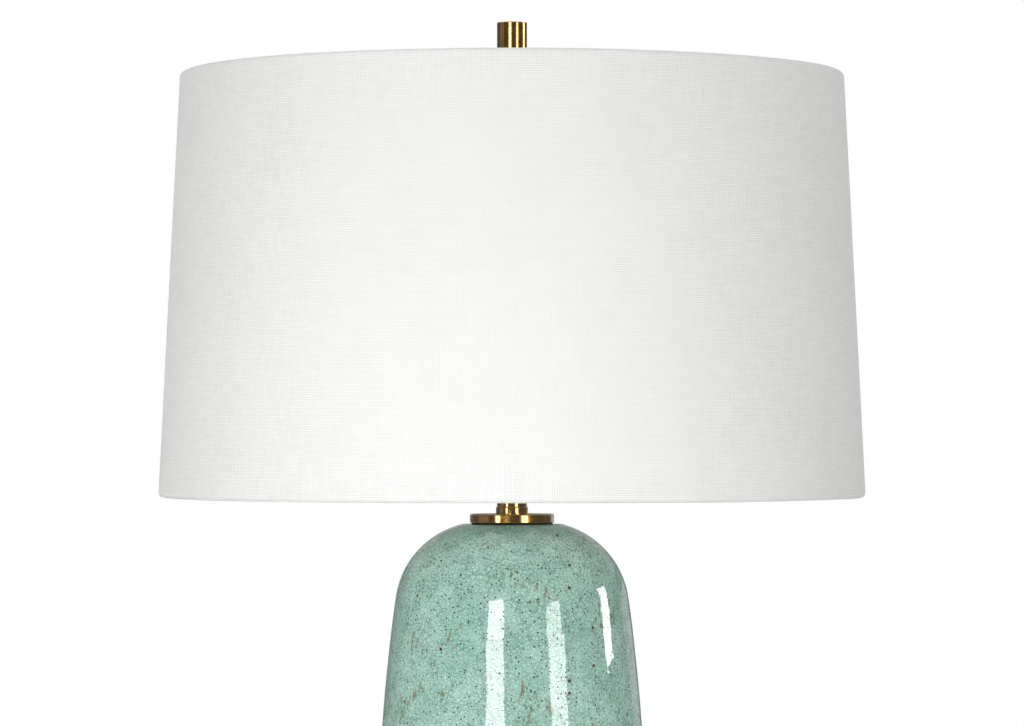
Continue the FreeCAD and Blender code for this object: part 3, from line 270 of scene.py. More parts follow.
@dataclass(frozen=True)
class CrackleGlaze(Finish):
    """A glossy celadon glaze on stoneware, crazed, speckled with iron and stained with rust."""

    craze: str = "#4C7769"
    speck: str = "#141714"
    halo: str = "#B9B79B"
    rust: str = "#7B7048"
    # The darker tone of the band under the cap is painted shade.
    painted_shade_tone: str = "#6F9A89"
    bisque: str = "#CDBD9F"
    foot_line: float = 0.0272  # m, bare clay below this height
    painted_shade_band: Span = (0.370, 0.381)  # m, a band round the mouth under the cap, where painted shade darkens the glaze
    rust_line: Span = (0.22, 0.28)  # m, rust comes in above this
    crack_bend: float = 0.6  # mm, how far the cracks stray from straight
    # Cells between cracks: width and height in mm, the line's share of a cell, and its strength.
    crack_cells: tuple[tuple[float, float, float, float], ...] = (
        (2.2, 3.2, 0.10, 0.9), (3.2, 2.0, 0.10, 0.9), (1.2, 1.2, 0.13, 0.5))

    def pattern(self, tree: Tree, shader: Node) -> None:
        """Builds up the glaze: clouds, crazing, painted shade under the cap, rust, specks and bare
        foot.

        Args:
            tree: The material's tree.
            shader: Its Principled node.
        """
        here = add_node(tree, "ShaderNodeTexCoord").outputs["Object"]
        height = add_node(tree, "ShaderNodeSeparateXYZ", links={0: here}).outputs["Z"]
        cracks = self.cracks(tree, here)
        # Painted shade: the glaze darkens in a band round the mouth, under the cap.
        painted_shade_cover = add_node(tree, "ShaderNodeMapRange",
                        {"From Min": self.painted_shade_band[0], "From Max": self.painted_shade_band[1],
                         "To Max": 0.6}, {"Value": height}).outputs[0]
        rust = self.rust_runs(tree, here, height)
        dust, _ = self.specks(tree, here, cell=1.3, share=0.45, largest=0.24, rim=0.02)
        fine, _ = self.specks(tree, here, cell=2.3, share=0.75, largest=0.24, rim=0.02)
        coarse, halo = self.specks(tree, here, cell=7.0, share=0.26, largest=0.15, rim=0.06)
        specks = greater(tree, fine, coarse, dust)
        bare = add_node(tree, "ShaderNodeMath", {"operation": "LESS_THAN", 1: self.foot_line},
                        {0: height}).outputs[0]
        colour = self.body_colour(tree, here)
        layers = ((self.painted_shade_tone, painted_shade_cover), (self.craze, cracks), (self.rust, rust), (self.halo, halo),
                  (self.speck, specks), (self.bisque, bare))
        for tone, cover in layers:
            colour = add_node(tree, "ShaderNodeMix", {"data_type": "RGBA", 7: linear(tone)},
                              {0: cover, 6: colour}).outputs[2]
        rough = add_node(tree, "ShaderNodeMapRange",
                         {"To Min": self.roughness[0], "To Max": self.roughness[1]},
                         {"Value": greater(tree, specks, bare)}).outputs[0]
        self.feed(tree, shader, colour, rough, self.relief(tree, here, cracks, specks))

    def body_colour(self, tree: Tree, here: Socket) -> Socket:
        """The glaze's own colour: wide clouds of two tones, and a fine mottle of light and dark.

        Args:
            tree: The material's tree.
            here: The place on the jar.

        Returns:
            The colour socket.
        """
        colour = self.clouded(tree, here, 4.0, (0.36, 0.64))
        mottle = add_node(tree, "ShaderNodeTexNoise",
                          {"Scale": per(1.2), "Detail": 3.0, "Roughness": 0.6},
                          {"Vector": here}).outputs[0]
        share = add_node(tree, "ShaderNodeMapRange",
                         {"From Min": 0.3, "From Max": 0.7, "To Min": 0.84, "To Max": 1.2},
                         {"Value": mottle}).outputs[0]
        return add_node(tree, "ShaderNodeVectorMath", {"operation": "SCALE"},
                        {0: colour, "Scale": share}).outputs[0]

    def cracks(self, tree: Tree, here: Socket) -> Socket:
        """The crazing: edges of warped cells, tall, wide and small, stronger in some places.

        Args:
            tree: The material's tree.
            here: The place on the jar.

        Returns:
            A socket that is 1 on a crack and 0 off it.
        """
        warp = add_node(tree, "ShaderNodeTexNoise", {"Scale": per(3.0), "Detail": 1.0},
                        {"Vector": here}).outputs[1]
        bent = add_node(tree, "ShaderNodeVectorMath",
                        {"operation": "MULTIPLY_ADD", 1: [self.crack_bend * MM] * 3},
                        {0: warp, 2: here}).outputs[0]
        nets = []
        for wide, tall, line, strength in self.crack_cells:
            cells = add_node(tree, "ShaderNodeMapping",
                             {"Scale": [per(wide), per(wide), per(tall)]},
                             {"Vector": bent}).outputs[0]
            edge = add_node(tree, "ShaderNodeTexVoronoi",
                            {"feature": "DISTANCE_TO_EDGE", "Scale": 1.0},
                            {"Vector": cells}).outputs["Distance"]
            nets.append(add_node(tree, "ShaderNodeMapRange",
                                 {"From Max": line, "To Min": strength, "To Max": 0.0},
                                 {"Value": edge}).outputs[0])
        patchy = noise_in_range(tree, here, 9.0, 3.0, (0.38, 0.6), (0.5, 0.9))
        return add_node(tree, "ShaderNodeMath", {"operation": "MULTIPLY"},
                        {0: greater(tree, *nets), 1: patchy}).outputs[0]

    def specks(self, tree: Tree, here: Socket, cell: float, share: float, largest: float,
               rim: float) -> tuple[Socket, Socket]:
        """Iron specks: a dot at the heart of some random cells, each of its own size.

        Args:
            tree: The material's tree.
            here: The place on the jar.
            cell: Millimetres between neighbouring places for a speck.
            share: How many of the places have one.
            largest: The largest radius, as a share of the cell.
            rim: The width of the pale ring round it, as a share of the cell.

        Returns:
            Two sockets, which are 1 on a speck and within its ring.
        """
        cells = add_node(tree, "ShaderNodeTexVoronoi", {"Scale": per(cell)}, {"Vector": here})
        chance = add_node(tree, "ShaderNodeSeparateColor", links={0: cells.outputs["Color"]})
        radius = add_node(tree, "ShaderNodeMapRange",
                          {"From Min": 1 - share, "From Max": 1 - share / 2, "To Min": -2 * rim,
                           "To Max": largest}, {"Value": chance.outputs[0]}).outputs[0]
        inside = add_node(tree, "ShaderNodeMath", {"operation": "SUBTRACT"},
                          {0: radius, 1: cells.outputs["Distance"]}).outputs[0]
        dot = add_node(tree, "ShaderNodeMapRange", {"From Min": -0.006, "From Max": 0.012},
                       {"Value": inside}).outputs[0]
        ring = add_node(tree, "ShaderNodeMapRange",
                        {"From Min": -rim, "From Max": -0.4 * rim, "To Max": 0.7},
                        {"Value": inside}).outputs[0]
        return dot, ring

    def rust_runs(self, tree: Tree, here: Socket, height: Socket) -> Socket:
        """Rust stains: noise drawn out downwards, in a few patches on the upper wall.

        Args:
            tree: The material's tree.
            here: The place on the jar.
            height: Its height.

        Returns:
            A socket that is 0 off the stains and up to 1 on them.
        """
        drawn = add_node(tree, "ShaderNodeMapping", {"Scale": [1.0, 1.0, 0.35]},
                         {"Vector": here}).outputs[0]
        runs = noise_in_range(tree, drawn, 2.4, 4.0, (0.54, 0.66))
        where = noise_in_range(tree, here, 20.0, 1.0, (0.56, 0.64), (0.0, 0.85))
        band = add_node(tree, "ShaderNodeMapRange",
                        {"From Min": self.rust_line[0], "From Max": self.rust_line[1]},
                        {"Value": height}).outputs[0]
        patches = add_node(tree, "ShaderNodeMath", {"operation": "MULTIPLY"},
                           {0: where, 1: band}).outputs[0]
        return add_node(tree, "ShaderNodeMath", {"operation": "MULTIPLY"},
                        {0: patches, 1: runs}).outputs[0]

    def relief(self, tree: Tree, here: Socket, cracks: Socket, specks: Socket) -> Socket:
        """The glaze's surface: wavy as it flowed, and pitted at the specks and cracks.

        Args:
            tree: The material's tree.
            here: The place on the jar.
            cracks: 1 on a crack.
            specks: 1 on a speck.

        Returns:
            The bumped normal.
        """
        flow = add_node(tree, "ShaderNodeTexNoise", {"Scale": per(self.grain[0]), "Detail": 1.0},
                        {"Vector": here}).outputs[0]
        wavy = add_node(tree, "ShaderNodeBump", {"Distance": self.depth * MM},
                        {"Height": flow}).outputs[0]
        low = add_node(tree, "ShaderNodeMath", {"operation": "MULTIPLY_ADD", 1: 0.03},
                       {0: cracks, 2: specks}).outputs[0]
        return add_node(tree, "ShaderNodeBump", {"Distance": 0.02 * MM, "invert": True},
                        {"Height": low, "Normal": wavy}).outputs[0]


@dataclass(frozen=True)
class WovenLinen(Finish):
    """A plain weave on the piece's own map, whose U runs round the shade and V up it, in metres."""

    thread: float = 1.3  # mm, twice the real spacing, so that the render can show it
    slub: float = 14.0  # mm, length of the thick places in a thread

    def pattern(self, tree: Tree, shader: Node) -> None:
        """Weaves threads both ways, with thick places along each and shadow in the gaps.

        Args:
            tree: The material's tree.
            shader: Its Principled node.
        """
        flat = add_node(tree, "ShaderNodeUVMap", {"uv_map": "weave"}).outputs[0]
        waver = add_node(tree, "ShaderNodeTexNoise", {"Scale": per(6.0), "Detail": 2.0},
                         {"Vector": flat}).outputs[1]
        laid = add_node(tree, "ShaderNodeVectorMath",
                        {"operation": "MULTIPLY_ADD", 1: [0.9 * MM, 0.9 * MM, 0.0]},
                        {0: waver, 2: flat}).outputs[0]
        # Wave bands are one in 0.31416 of a unit at scale 1.
        scale = 0.31416 * per(self.thread)
        heights = []
        for direction, long_way in (("X", (0.6, self.slub)), ("Y", (self.slub, 0.6))):
            bands = add_node(tree, "ShaderNodeTexWave",
                             {"wave_type": "BANDS", "bands_direction": direction, "Scale": scale},
                             {"Vector": laid}).outputs["Fac"]
            drawn = add_node(tree, "ShaderNodeMapping",
                             {"Scale": [per(long_way[0]), per(long_way[1]), 1.0]},
                             {"Vector": flat}).outputs[0]
            slubs = add_node(tree, "ShaderNodeTexNoise", {"Scale": 1.0, "Detail": 2.0},
                             {"Vector": drawn}).outputs[0]
            heights.append(add_node(tree, "ShaderNodeMath", {"operation": "MULTIPLY"},
                                    {0: bands, 1: slubs}).outputs[0])
        weave = greater(tree, *heights)
        clouds = add_node(tree, "ShaderNodeTexNoise", {"Scale": per(self.clouds), "Detail": 2.0},
                          {"Vector": flat}).outputs[0]
        share = add_node(tree, "ShaderNodeMath", {"operation": "MULTIPLY_ADD", 1: 0.1},
                         {0: clouds, 2: weave}).outputs[0]
        lit = add_node(tree, "ShaderNodeMapRange", {"From Min": 0.1, "From Max": 0.6},
                       {"Value": share}).outputs[0]
        colour = add_node(tree, "ShaderNodeMix",
                          {"data_type": "RGBA", 6: linear(self.second), 7: linear(self.colour)},
                          {0: lit}).outputs[2]
        rough = add_node(tree, "ShaderNodeMapRange",
                         {"To Min": self.roughness[1], "To Max": self.roughness[0]},
                         {"Value": weave}).outputs[0]
        bump = add_node(tree, "ShaderNodeBump", {"Distance": self.depth * MM},
                        {"Height": weave}).outputs[0]
        self.feed(tree, shader, colour, rough, bump)


FINISHES: dict[Slot, Finish] = {
    # Pressed wool: matt, nearly black green, with a short nap.
    Slot.FELT: Finish("pressed_wool_felt", "#24302A", "#303C35", 9.0, (0.9, 1.0),
                      (0.9, 0.9, 0.9), 0.25, extras=(("Sheen Weight", 0.5),)),
    # Turned brass, darkened in a bath and lacquered: olive brown, with rings from the lathe.
    Slot.ANTIQUE_BRASS: Finish("antiqued_brass_lacquered", "#997632", "#83622A", 7.0,
                               (0.10, 0.20), (9.0, 9.0, 0.5), 0.006, 1.0,
                               (("Coat Weight", 1.0), ("Coat Roughness", 0.03))),
    # Grey iron as it left the sand: dark, rough and pocked.
    Slot.CAST_IRON: Finish("sand_cast_iron", "#3B3A39", "#524A43", 12.0, (0.55, 0.8),
                           (1.6, 1.6, 1.6), 0.35, 0.7),
    # Bright zinc plate: bluish, with fine scratches from the barrel.
    Slot.ZINC_STEEL: Finish("zinc_plated_steel", "#B8BCBF", "#A3A7A8", 5.0, (0.28, 0.45),
                            (2.0, 2.0, 0.4), 0.02, 1.0),
    # Drawn steel wire and strip under a thin brass plate: satin, a little streaked.
    Slot.PLATED_WIRE: Finish("brass_plated_steel_wire", "#A98F62", "#8C744B", 11.0,
                             (0.22, 0.38), (0.8, 0.8, 6.0), 0.01, 1.0),
    # Moulded nylon: black, satin, faintly grained.
    Slot.BUSHING_PLASTIC: Finish("moulded_nylon", "#1A1A1A", "#222222", 4.0, (0.42, 0.55),
                                 (0.5, 0.5, 0.5), 0.02),
    # Punched from sheet rubber: dull black with a bloom.
    Slot.RUBBER: Finish("sheet_rubber", "#1B1B1B", "#262524", 6.0, (0.72, 0.88),
                        (0.7, 0.7, 0.7), 0.04),
    # Celadon stoneware glaze: wet gloss over crazing, iron specks and rust.
    Slot.CRACKLE_GLAZE: CrackleGlaze("crackle_celadon_glaze", "#C0E6D9", "#ABD4C6", 28.0,
                                     (0.02, 0.4), (8.0, 8.0, 8.0), 0.12,
                                     extras=(("IOR", 1.52),)),
    # Vulcanised paper: brown, dry, with a hard sheen.
    Slot.FIBRE: Finish("vulcanised_fibre", "#6A4A33", "#573B28", 8.0, (0.5, 0.65),
                       (0.6, 0.6, 3.0), 0.03),
    # Pressed phenolic: black brown and glossy where the mould was polished.
    Slot.PHENOLIC: Finish("pressed_phenolic", "#231A16", "#2C211B", 5.0, (0.22, 0.36),
                          (0.6, 0.6, 0.6), 0.015),
    # The knob's phenolic: worn to a satin by fingers.
    Slot.KNOB_PLASTIC: Finish("satin_phenolic", "#1E1613", "#281E19", 3.0, (0.3, 0.46),
                              (0.5, 0.5, 0.5), 0.02),
    # Stamped brass left bright: yellow, with rolling marks.
    Slot.CONTACT_BRASS: Finish("stamped_brass", "#D9B566", "#C79F52", 4.0, (0.16, 0.3),
                               (0.4, 3.0, 3.0), 0.01, 1.0),
    # Rolled aluminium: pale grey, softly streaked round the thread.
    Slot.BULB_ALUMINIUM: Finish("rolled_aluminium", "#D3D5D6", "#BDBFC1", 4.0, (0.2, 0.34),
                                (3.0, 3.0, 0.4), 0.01, 1.0),
    # Fused black glass under the screw cap.
    Slot.BULB_BLACK_GLASS: Finish("fused_black_glass", "#0E0E10", "#16161A", 3.0, (0.08, 0.16),
                                  (1.5, 1.5, 1.5), 0.02),
    # Glass frosted inside: milky white with a soft shine.
    Slot.BULB_FROSTED: Finish("frosted_glass", "#F2F1EC", "#ECEBE6", 20.0, (0.18, 0.26),
                              (2.0, 2.0, 2.0), 0.004,
                              extras=(("Transmission Weight", 0.25), ("IOR", 1.5))),
    # Bleached linen: matt white, threads both ways with thick places.
    Slot.LINEN: WovenLinen("woven_linen", "#F9F9F8", "#DDDDDB", 60.0, (0.82, 0.95),
                           (1.0, 1.0, 1.0), 0.06, extras=(("Sheen Weight", 0.15),)),
    # Calendered styrene: smooth, white and slightly shiny.
    Slot.SHADE_BACKING: Finish("calendered_styrene", "#F1F0EC", "#EBEAE5", 50.0, (0.38, 0.5),
                               (8.0, 8.0, 8.0), 0.02),
    # Baked powder coat: white with orange peel.
    Slot.WHITE_WIRE: Finish("white_powder_coat", "#EDEDEA", "#E4E4E0", 10.0, (0.32, 0.45),
                            (0.8, 0.8, 0.8), 0.03),
}


# ------------------------------------------------------------------------------ meshes


def straight(start: Sequence[float], end: Sequence[float], count: int) -> Points:
    """Evenly spaced points on a line between two points, both included."""
    share = np.linspace(0, 1, count)[:, None]
    return (1 - share) * np.asarray(start, float) + share * np.asarray(end, float)


def arc(centre: Sequence[float], radius: float, start: float, end: float, count: int) -> Points:
    """Evenly spaced points on a circle between two angles in degrees, both included.

    Each point is the centre plus the radius times the cosine and sine of its angle.
    """
    angles = np.radians(np.linspace(start, end, count))
    return np.asarray(centre, float) + radius * np.column_stack((np.cos(angles), np.sin(angles)))


def join(*stretches: Points) -> Points:
    """Joins stretches of a section, without the points where two of them meet."""
    line = np.vstack(stretches)
    apart = np.linalg.norm(np.diff(line, axis=0), axis=1) > 1e-6
    return line[np.concatenate(([True], apart))]


def turns(columns: int) -> np.ndarray:
    """The angles of evenly spaced columns round the Z axis, in radians."""
    return np.arange(columns) * FULL_TURN / columns


def along(line: Points) -> np.ndarray:
    """The distance along a line of points to each of them."""
    steps = np.linalg.norm(np.diff(line, axis=0), axis=1)
    return np.concatenate(([0.0], np.cumsum(steps)))


def right_hand(line: Points, closed: bool) -> Points:
    """Unit vectors to the right of a section's direction, which is outwards on a closed one.

    The direction at a point is from the point before it to the one after it.
    """
    if closed:
        direction = np.roll(line, -1, axis=0) - np.roll(line, 1, axis=0)
    else:
        direction = np.gradient(line, axis=0)
    length = np.maximum(np.linalg.norm(direction, axis=1, keepdims=True), 1e-9)
    across, up = (direction / length).T
    return np.column_stack((up, -across))


def ripple(angles: np.ndarray, heights: np.ndarray, seed: int, longest: float, shortest: float,
           radius: float, waves: int = 22) -> np.ndarray:
    """An uneven surface: a sum of cosines round and along a turned piece.

    Each wave has a length between the two given, a random heading and a random phase. It has a
    whole number of crests round the piece, and its height is in proportion to its length.

    Args:
        angles: The columns' angles in radians.
        heights: The rows' heights in millimetres.
        seed: Seeds the headings and phases.
        longest: The longest wave in millimetres.
        shortest: The shortest wave in millimetres.
        radius: The piece's radius in millimetres.
        waves: How many waves are added up.

    Returns:
        An array of rows by columns, within -1 and 1.
    """
    random = np.random.default_rng(seed)
    lengths = np.geomspace(longest, shortest, waves)
    heading = random.uniform(0, math.pi, waves)
    phase = random.uniform(0, FULL_TURN, waves)
    crests = np.round(FULL_TURN * radius / lengths * np.cos(heading))
    climb = FULL_TURN / lengths * np.sin(heading)
    swing = (crests[:, None, None] * angles[None, None, :]
             + climb[:, None, None] * heights[None, :, None] + phase[:, None, None])
    total = np.einsum("w,wij->ij", lengths, np.cos(swing))
    return total / np.abs(total).max()


def place_mesh(name: str, points: Points, faces: list[list[int]],
               uvs: np.ndarray | None = None) -> Piece:
    """Makes an object of a mesh whose points are in millimetres.

    Args:
        name: The piece's name.
        points: An array of points by three.
        faces: The corners of each face.
        uvs: A pair in metres for each corner in turn, for the map named weave.

    Returns:
        The object, at the origin, smooth but for its sharp edges.
    """
    mesh = bpy.data.meshes.new(name)
    mesh.from_pydata((points * MM).tolist(), [], faces)
    if uvs is not None:
        mesh.uv_layers.new(name="weave").data.foreach_set("uv", uvs.astype(np.float32).ravel())
    mesh.shade_smooth()
    mesh.set_sharp_from_angle(angle=SHARP_EDGE)
    piece = bpy.data.objects.new(name, mesh)
    bpy.context.scene.collection.objects.link(piece)
    return piece


def loop_grid(name: str, radii: np.ndarray, heights: np.ndarray, angles: np.ndarray,
              rows_along: np.ndarray | None = None) -> Piece:
    """A ring-shaped surface: a closed section, carried round the Z axis.

    The point in a row and column is (r cos a, r sin a, h), with r and h from the arrays and a the
    column's angle. The last row meets the first one, and the last column the first.

    Args:
        name: The piece's name.
        radii: Rows by columns, in millimetres, the section anticlockwise seen with Z up.
        heights: The same for heights.
        angles: The columns' angles.
        rows_along: The distance along the section to each row and back to the first, in
            millimetres, if the piece has a map.

    Returns:
        The object.
    """
    rows, columns = radii.shape
    points = np.stack((radii * np.cos(angles), radii * np.sin(angles), heights), axis=-1)
    row, column = np.meshgrid(np.arange(rows), np.arange(columns), indexing="ij")
    corner_rows = np.stack((row, row, row + 1, row + 1), axis=-1).reshape(-1, 4)
    corner_columns = np.stack((column, column + 1, column + 1, column), axis=-1).reshape(-1, 4)
    faces = (corner_rows % rows) * columns + corner_columns % columns
    uvs = None
    if rows_along is not None:
        around = np.append(angles, angles[0] + FULL_TURN) * radii.mean()
        uvs = np.stack((around[corner_columns], rows_along[corner_rows]), axis=-1) * MM
    return place_mesh(name, points.reshape(-1, 3), faces.tolist(), uvs)


def capped_grid(name: str, section: Points, angles: np.ndarray,
                rise: np.ndarray | None = None) -> Piece:
    """A solid of revolution whose section starts and ends on the Z axis.

    The first and last points are poles, and the rows between them are rings of (r cos a, r sin a,
    h), joined by quads, with a fan of triangles round each pole.

    Args:
        name: The piece's name.
        section: (radius, height) pairs in millimetres, from the lower pole to the upper.
        angles: The columns' angles.
        rise: What is added to the heights of the rings, rows by columns.

    Returns:
        The object.
    """
    rings = section[1:-1]
    columns = len(angles)
    heights = np.repeat(rings[:, 1:], columns, axis=1)
    if rise is not None:
        heights = heights + rise
    radii = rings[:, :1]
    shell = np.stack((radii * np.cos(angles), radii * np.sin(angles), heights), axis=-1)
    poles = np.array([[0, 0, section[0, 1]], [0, 0, section[-1, 1]]])
    points = np.vstack((shell.reshape(-1, 3), poles))
    row, column = np.meshgrid(np.arange(len(rings) - 1), np.arange(columns), indexing="ij")
    after = (column + 1) % columns
    quads = np.stack((row * columns + column, row * columns + after,
                      (row + 1) * columns + after, (row + 1) * columns + column), axis=-1)
    around = np.arange(columns)
    beside = (around + 1) % columns
    first, last = len(points) - 2, len(points) - 1
    top = (len(rings) - 1) * columns
    low_fan = np.stack((np.full(columns, first), beside, around), axis=-1)
    high_fan = np.stack((np.full(columns, last), top + around, top + beside), axis=-1)
    faces = quads.reshape(-1, 4).tolist() + low_fan.tolist() + high_fan.tolist()
    return place_mesh(name, points, faces)


def turned(name: str, section: Points, columns: int, swell: np.ndarray | None = None) -> Piece:
    """Turns a closed section round the Z axis.

    Args:
        name: The piece's name.
        section: (radius, height) pairs in millimetres, anticlockwise seen with Z up.
        columns: How many steps go round.
        swell: How far the surface stands out from the section, rows by columns.

    Returns:
        The object.
    """
    angles = turns(columns)
    out = np.zeros((len(section), columns)) if swell is None else swell
    normals = right_hand(section, closed=True)
    radii = section[:, :1] + normals[:, :1] * out
    heights = section[:, 1:] + normals[:, 1:] * out
    return loop_grid(name, radii, heights, angles)


# ------------------------------------------------------------------------------ the lamp


@dataclass
class Dresser:
    """Gives new pieces a slot's material and a body, and hides the nodes that they replace."""

    materials: dict[Slot, bpy.types.Material]

    def finish(self, piece: Piece, slot: Slot, body: Body, *nodes: str) -> Piece:
        """Finishes a new piece.

        Args:
            piece: The piece.
            slot: The slot of the record that it takes its finish from.
            body: The body that it rides on.
            nodes: The CAD nodes that it replaces.

        Returns:
            The piece.
        """
        piece.data.materials.append(self.materials[slot])
        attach(piece, body.value)
        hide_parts(*nodes)
        LOG.info("%s: %d points, %s, in place of %s", piece.name, len(piece.data.vertices),
                 slot.value, ", ".join(nodes))
        return piece

    def dress_frame(self) -> None:
        """Gives every CAD node the material of its slot in the record."""
        for part in frame["record"]["subparts"]:
            node = frame["nodes"][part["node"]]
            for holder in node.material_slots:
                holder.material = self.materials[Slot(part["material_slot"])]
        LOG.info("%d nodes of the frame dressed", len(frame["nodes"]))


@dataclass
class GlazedJar:
    """The slip cast jar. Sizes in millimetres, angles in degrees above or below level."""

    side_arc: float = 1100.0
    side_sweep: float = 8.2
    shoulder_arc: float = 54.0
    shoulder_end: float = 76.0
    lower_arc: float = 620.0
    lower_sweep: float = 14.0
    heel_round: float = 8.0
    heel_end: float = 75.0
    wall: float = 6.0
    floor: float = 8.0
    ring_width: float = 8.0
    ring_height: float = 3.0
    mouth: float = 20.0
    rod_hole: float = 5.25
    columns: int = 300
    uneven: float = 0.22  # how far the wall strays from true
    bead: float = 0.45  # the roll where the glaze stopped above the foot
    bead_height: float = 6.0
    bead_width: float = 1.6
    fade_share: float = 12.0  # the wall is true over one part in so many at each end
    drip_share: float = 0.35  # how much of the bead comes and goes round the jar
    lip_bevel: float = 0.6

    def section(self) -> tuple[Points, int]:
        """The jar's half section, tangent arcs from the heel to the mouth and back inside.

        Returns:
            The section from the heel up the outside, over the mouth, down the inside and across
            the foot ring, and how many of its points are on the outside.
        """
        low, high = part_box("ginger_jar")
        belly, bottom = high.x / MM, low.z / MM
        lower = np.array([belly - self.lower_arc, 0.0])
        side = np.array([belly - self.side_arc, 0.0])
        heel = lower + (self.lower_arc - self.heel_round) * np.array(
            [math.cos(math.radians(self.lower_sweep)), -math.sin(math.radians(self.lower_sweep))])
        shoulder = side + (self.side_arc - self.shoulder_arc) * np.array(
            [math.cos(math.radians(self.side_sweep)), math.sin(math.radians(self.side_sweep))])
        lift = bottom - heel[1] + self.heel_round * math.sin(math.radians(self.heel_end))
        for centre in (lower, side, heel, shoulder):
            centre[1] += lift
        outside = join(
            arc(heel, self.heel_round, -self.heel_end, -self.lower_sweep, 12),
            arc(lower, self.lower_arc, -self.lower_sweep, 0, 74),
            arc(side, self.side_arc, 0, self.side_sweep, 78),
            arc(shoulder, self.shoulder_arc, self.side_sweep, self.shoulder_end, 40))
        top = outside[-1, 1]
        inner = self.shoulder_arc - self.wall
        mouth_angle = math.degrees(math.acos((self.mouth - shoulder[0]) / inner))
        inside = join(
            arc(shoulder, inner, mouth_angle, self.side_sweep, 16),
            arc(side, self.side_arc - self.wall, self.side_sweep, 0, 10),
            arc(lower, self.lower_arc - self.wall, 0, -self.lower_sweep, 10))
        under = bottom + self.ring_height
        ring = outside[0, 0] - self.ring_width
        rest = np.array([
            [outside[0, 0] - self.wall, under + self.floor], [self.rod_hole, under + self.floor],
            [self.rod_hole, under], [ring, under], [ring, bottom]])
        lip = np.array([[self.mouth + self.lip_bevel, top], [self.mouth, top - self.lip_bevel]])
        return join(outside, lip, inside, rest), len(outside)

    def build(self, dresser: Dresser) -> None:
        """Makes the jar, its wall a little uneven and the glaze rolled above the foot."""
        section, outside = self.section()
        angles = turns(self.columns)
        heights = section[:, 1]
        fade = np.zeros(len(section))
        share = np.linspace(0, 1, outside)
        fade[:outside] = np.clip(np.minimum(share, 1 - share) * self.fade_share, 0, 1)
        waves = ripple(angles, heights, seed=5, longest=170, shortest=24, radius=80)
        swell = self.uneven * fade[:, None] * waves
        roll = np.exp(-((heights - section[0, 1] - self.bead_height) / self.bead_width) ** 2)
        drips = ripple(angles, heights * 0, seed=9, longest=90, shortest=8, radius=60)
        drips = 1 - self.drip_share + self.drip_share * drips
        swell += self.bead * np.where(np.arange(len(section)) < outside, roll, 0)[:, None] * drips
        piece = turned("jar_glazed", section, self.columns, swell)
        dresser.finish(piece, Slot.CRACKLE_GLAZE, Body.BASE, "ginger_jar")


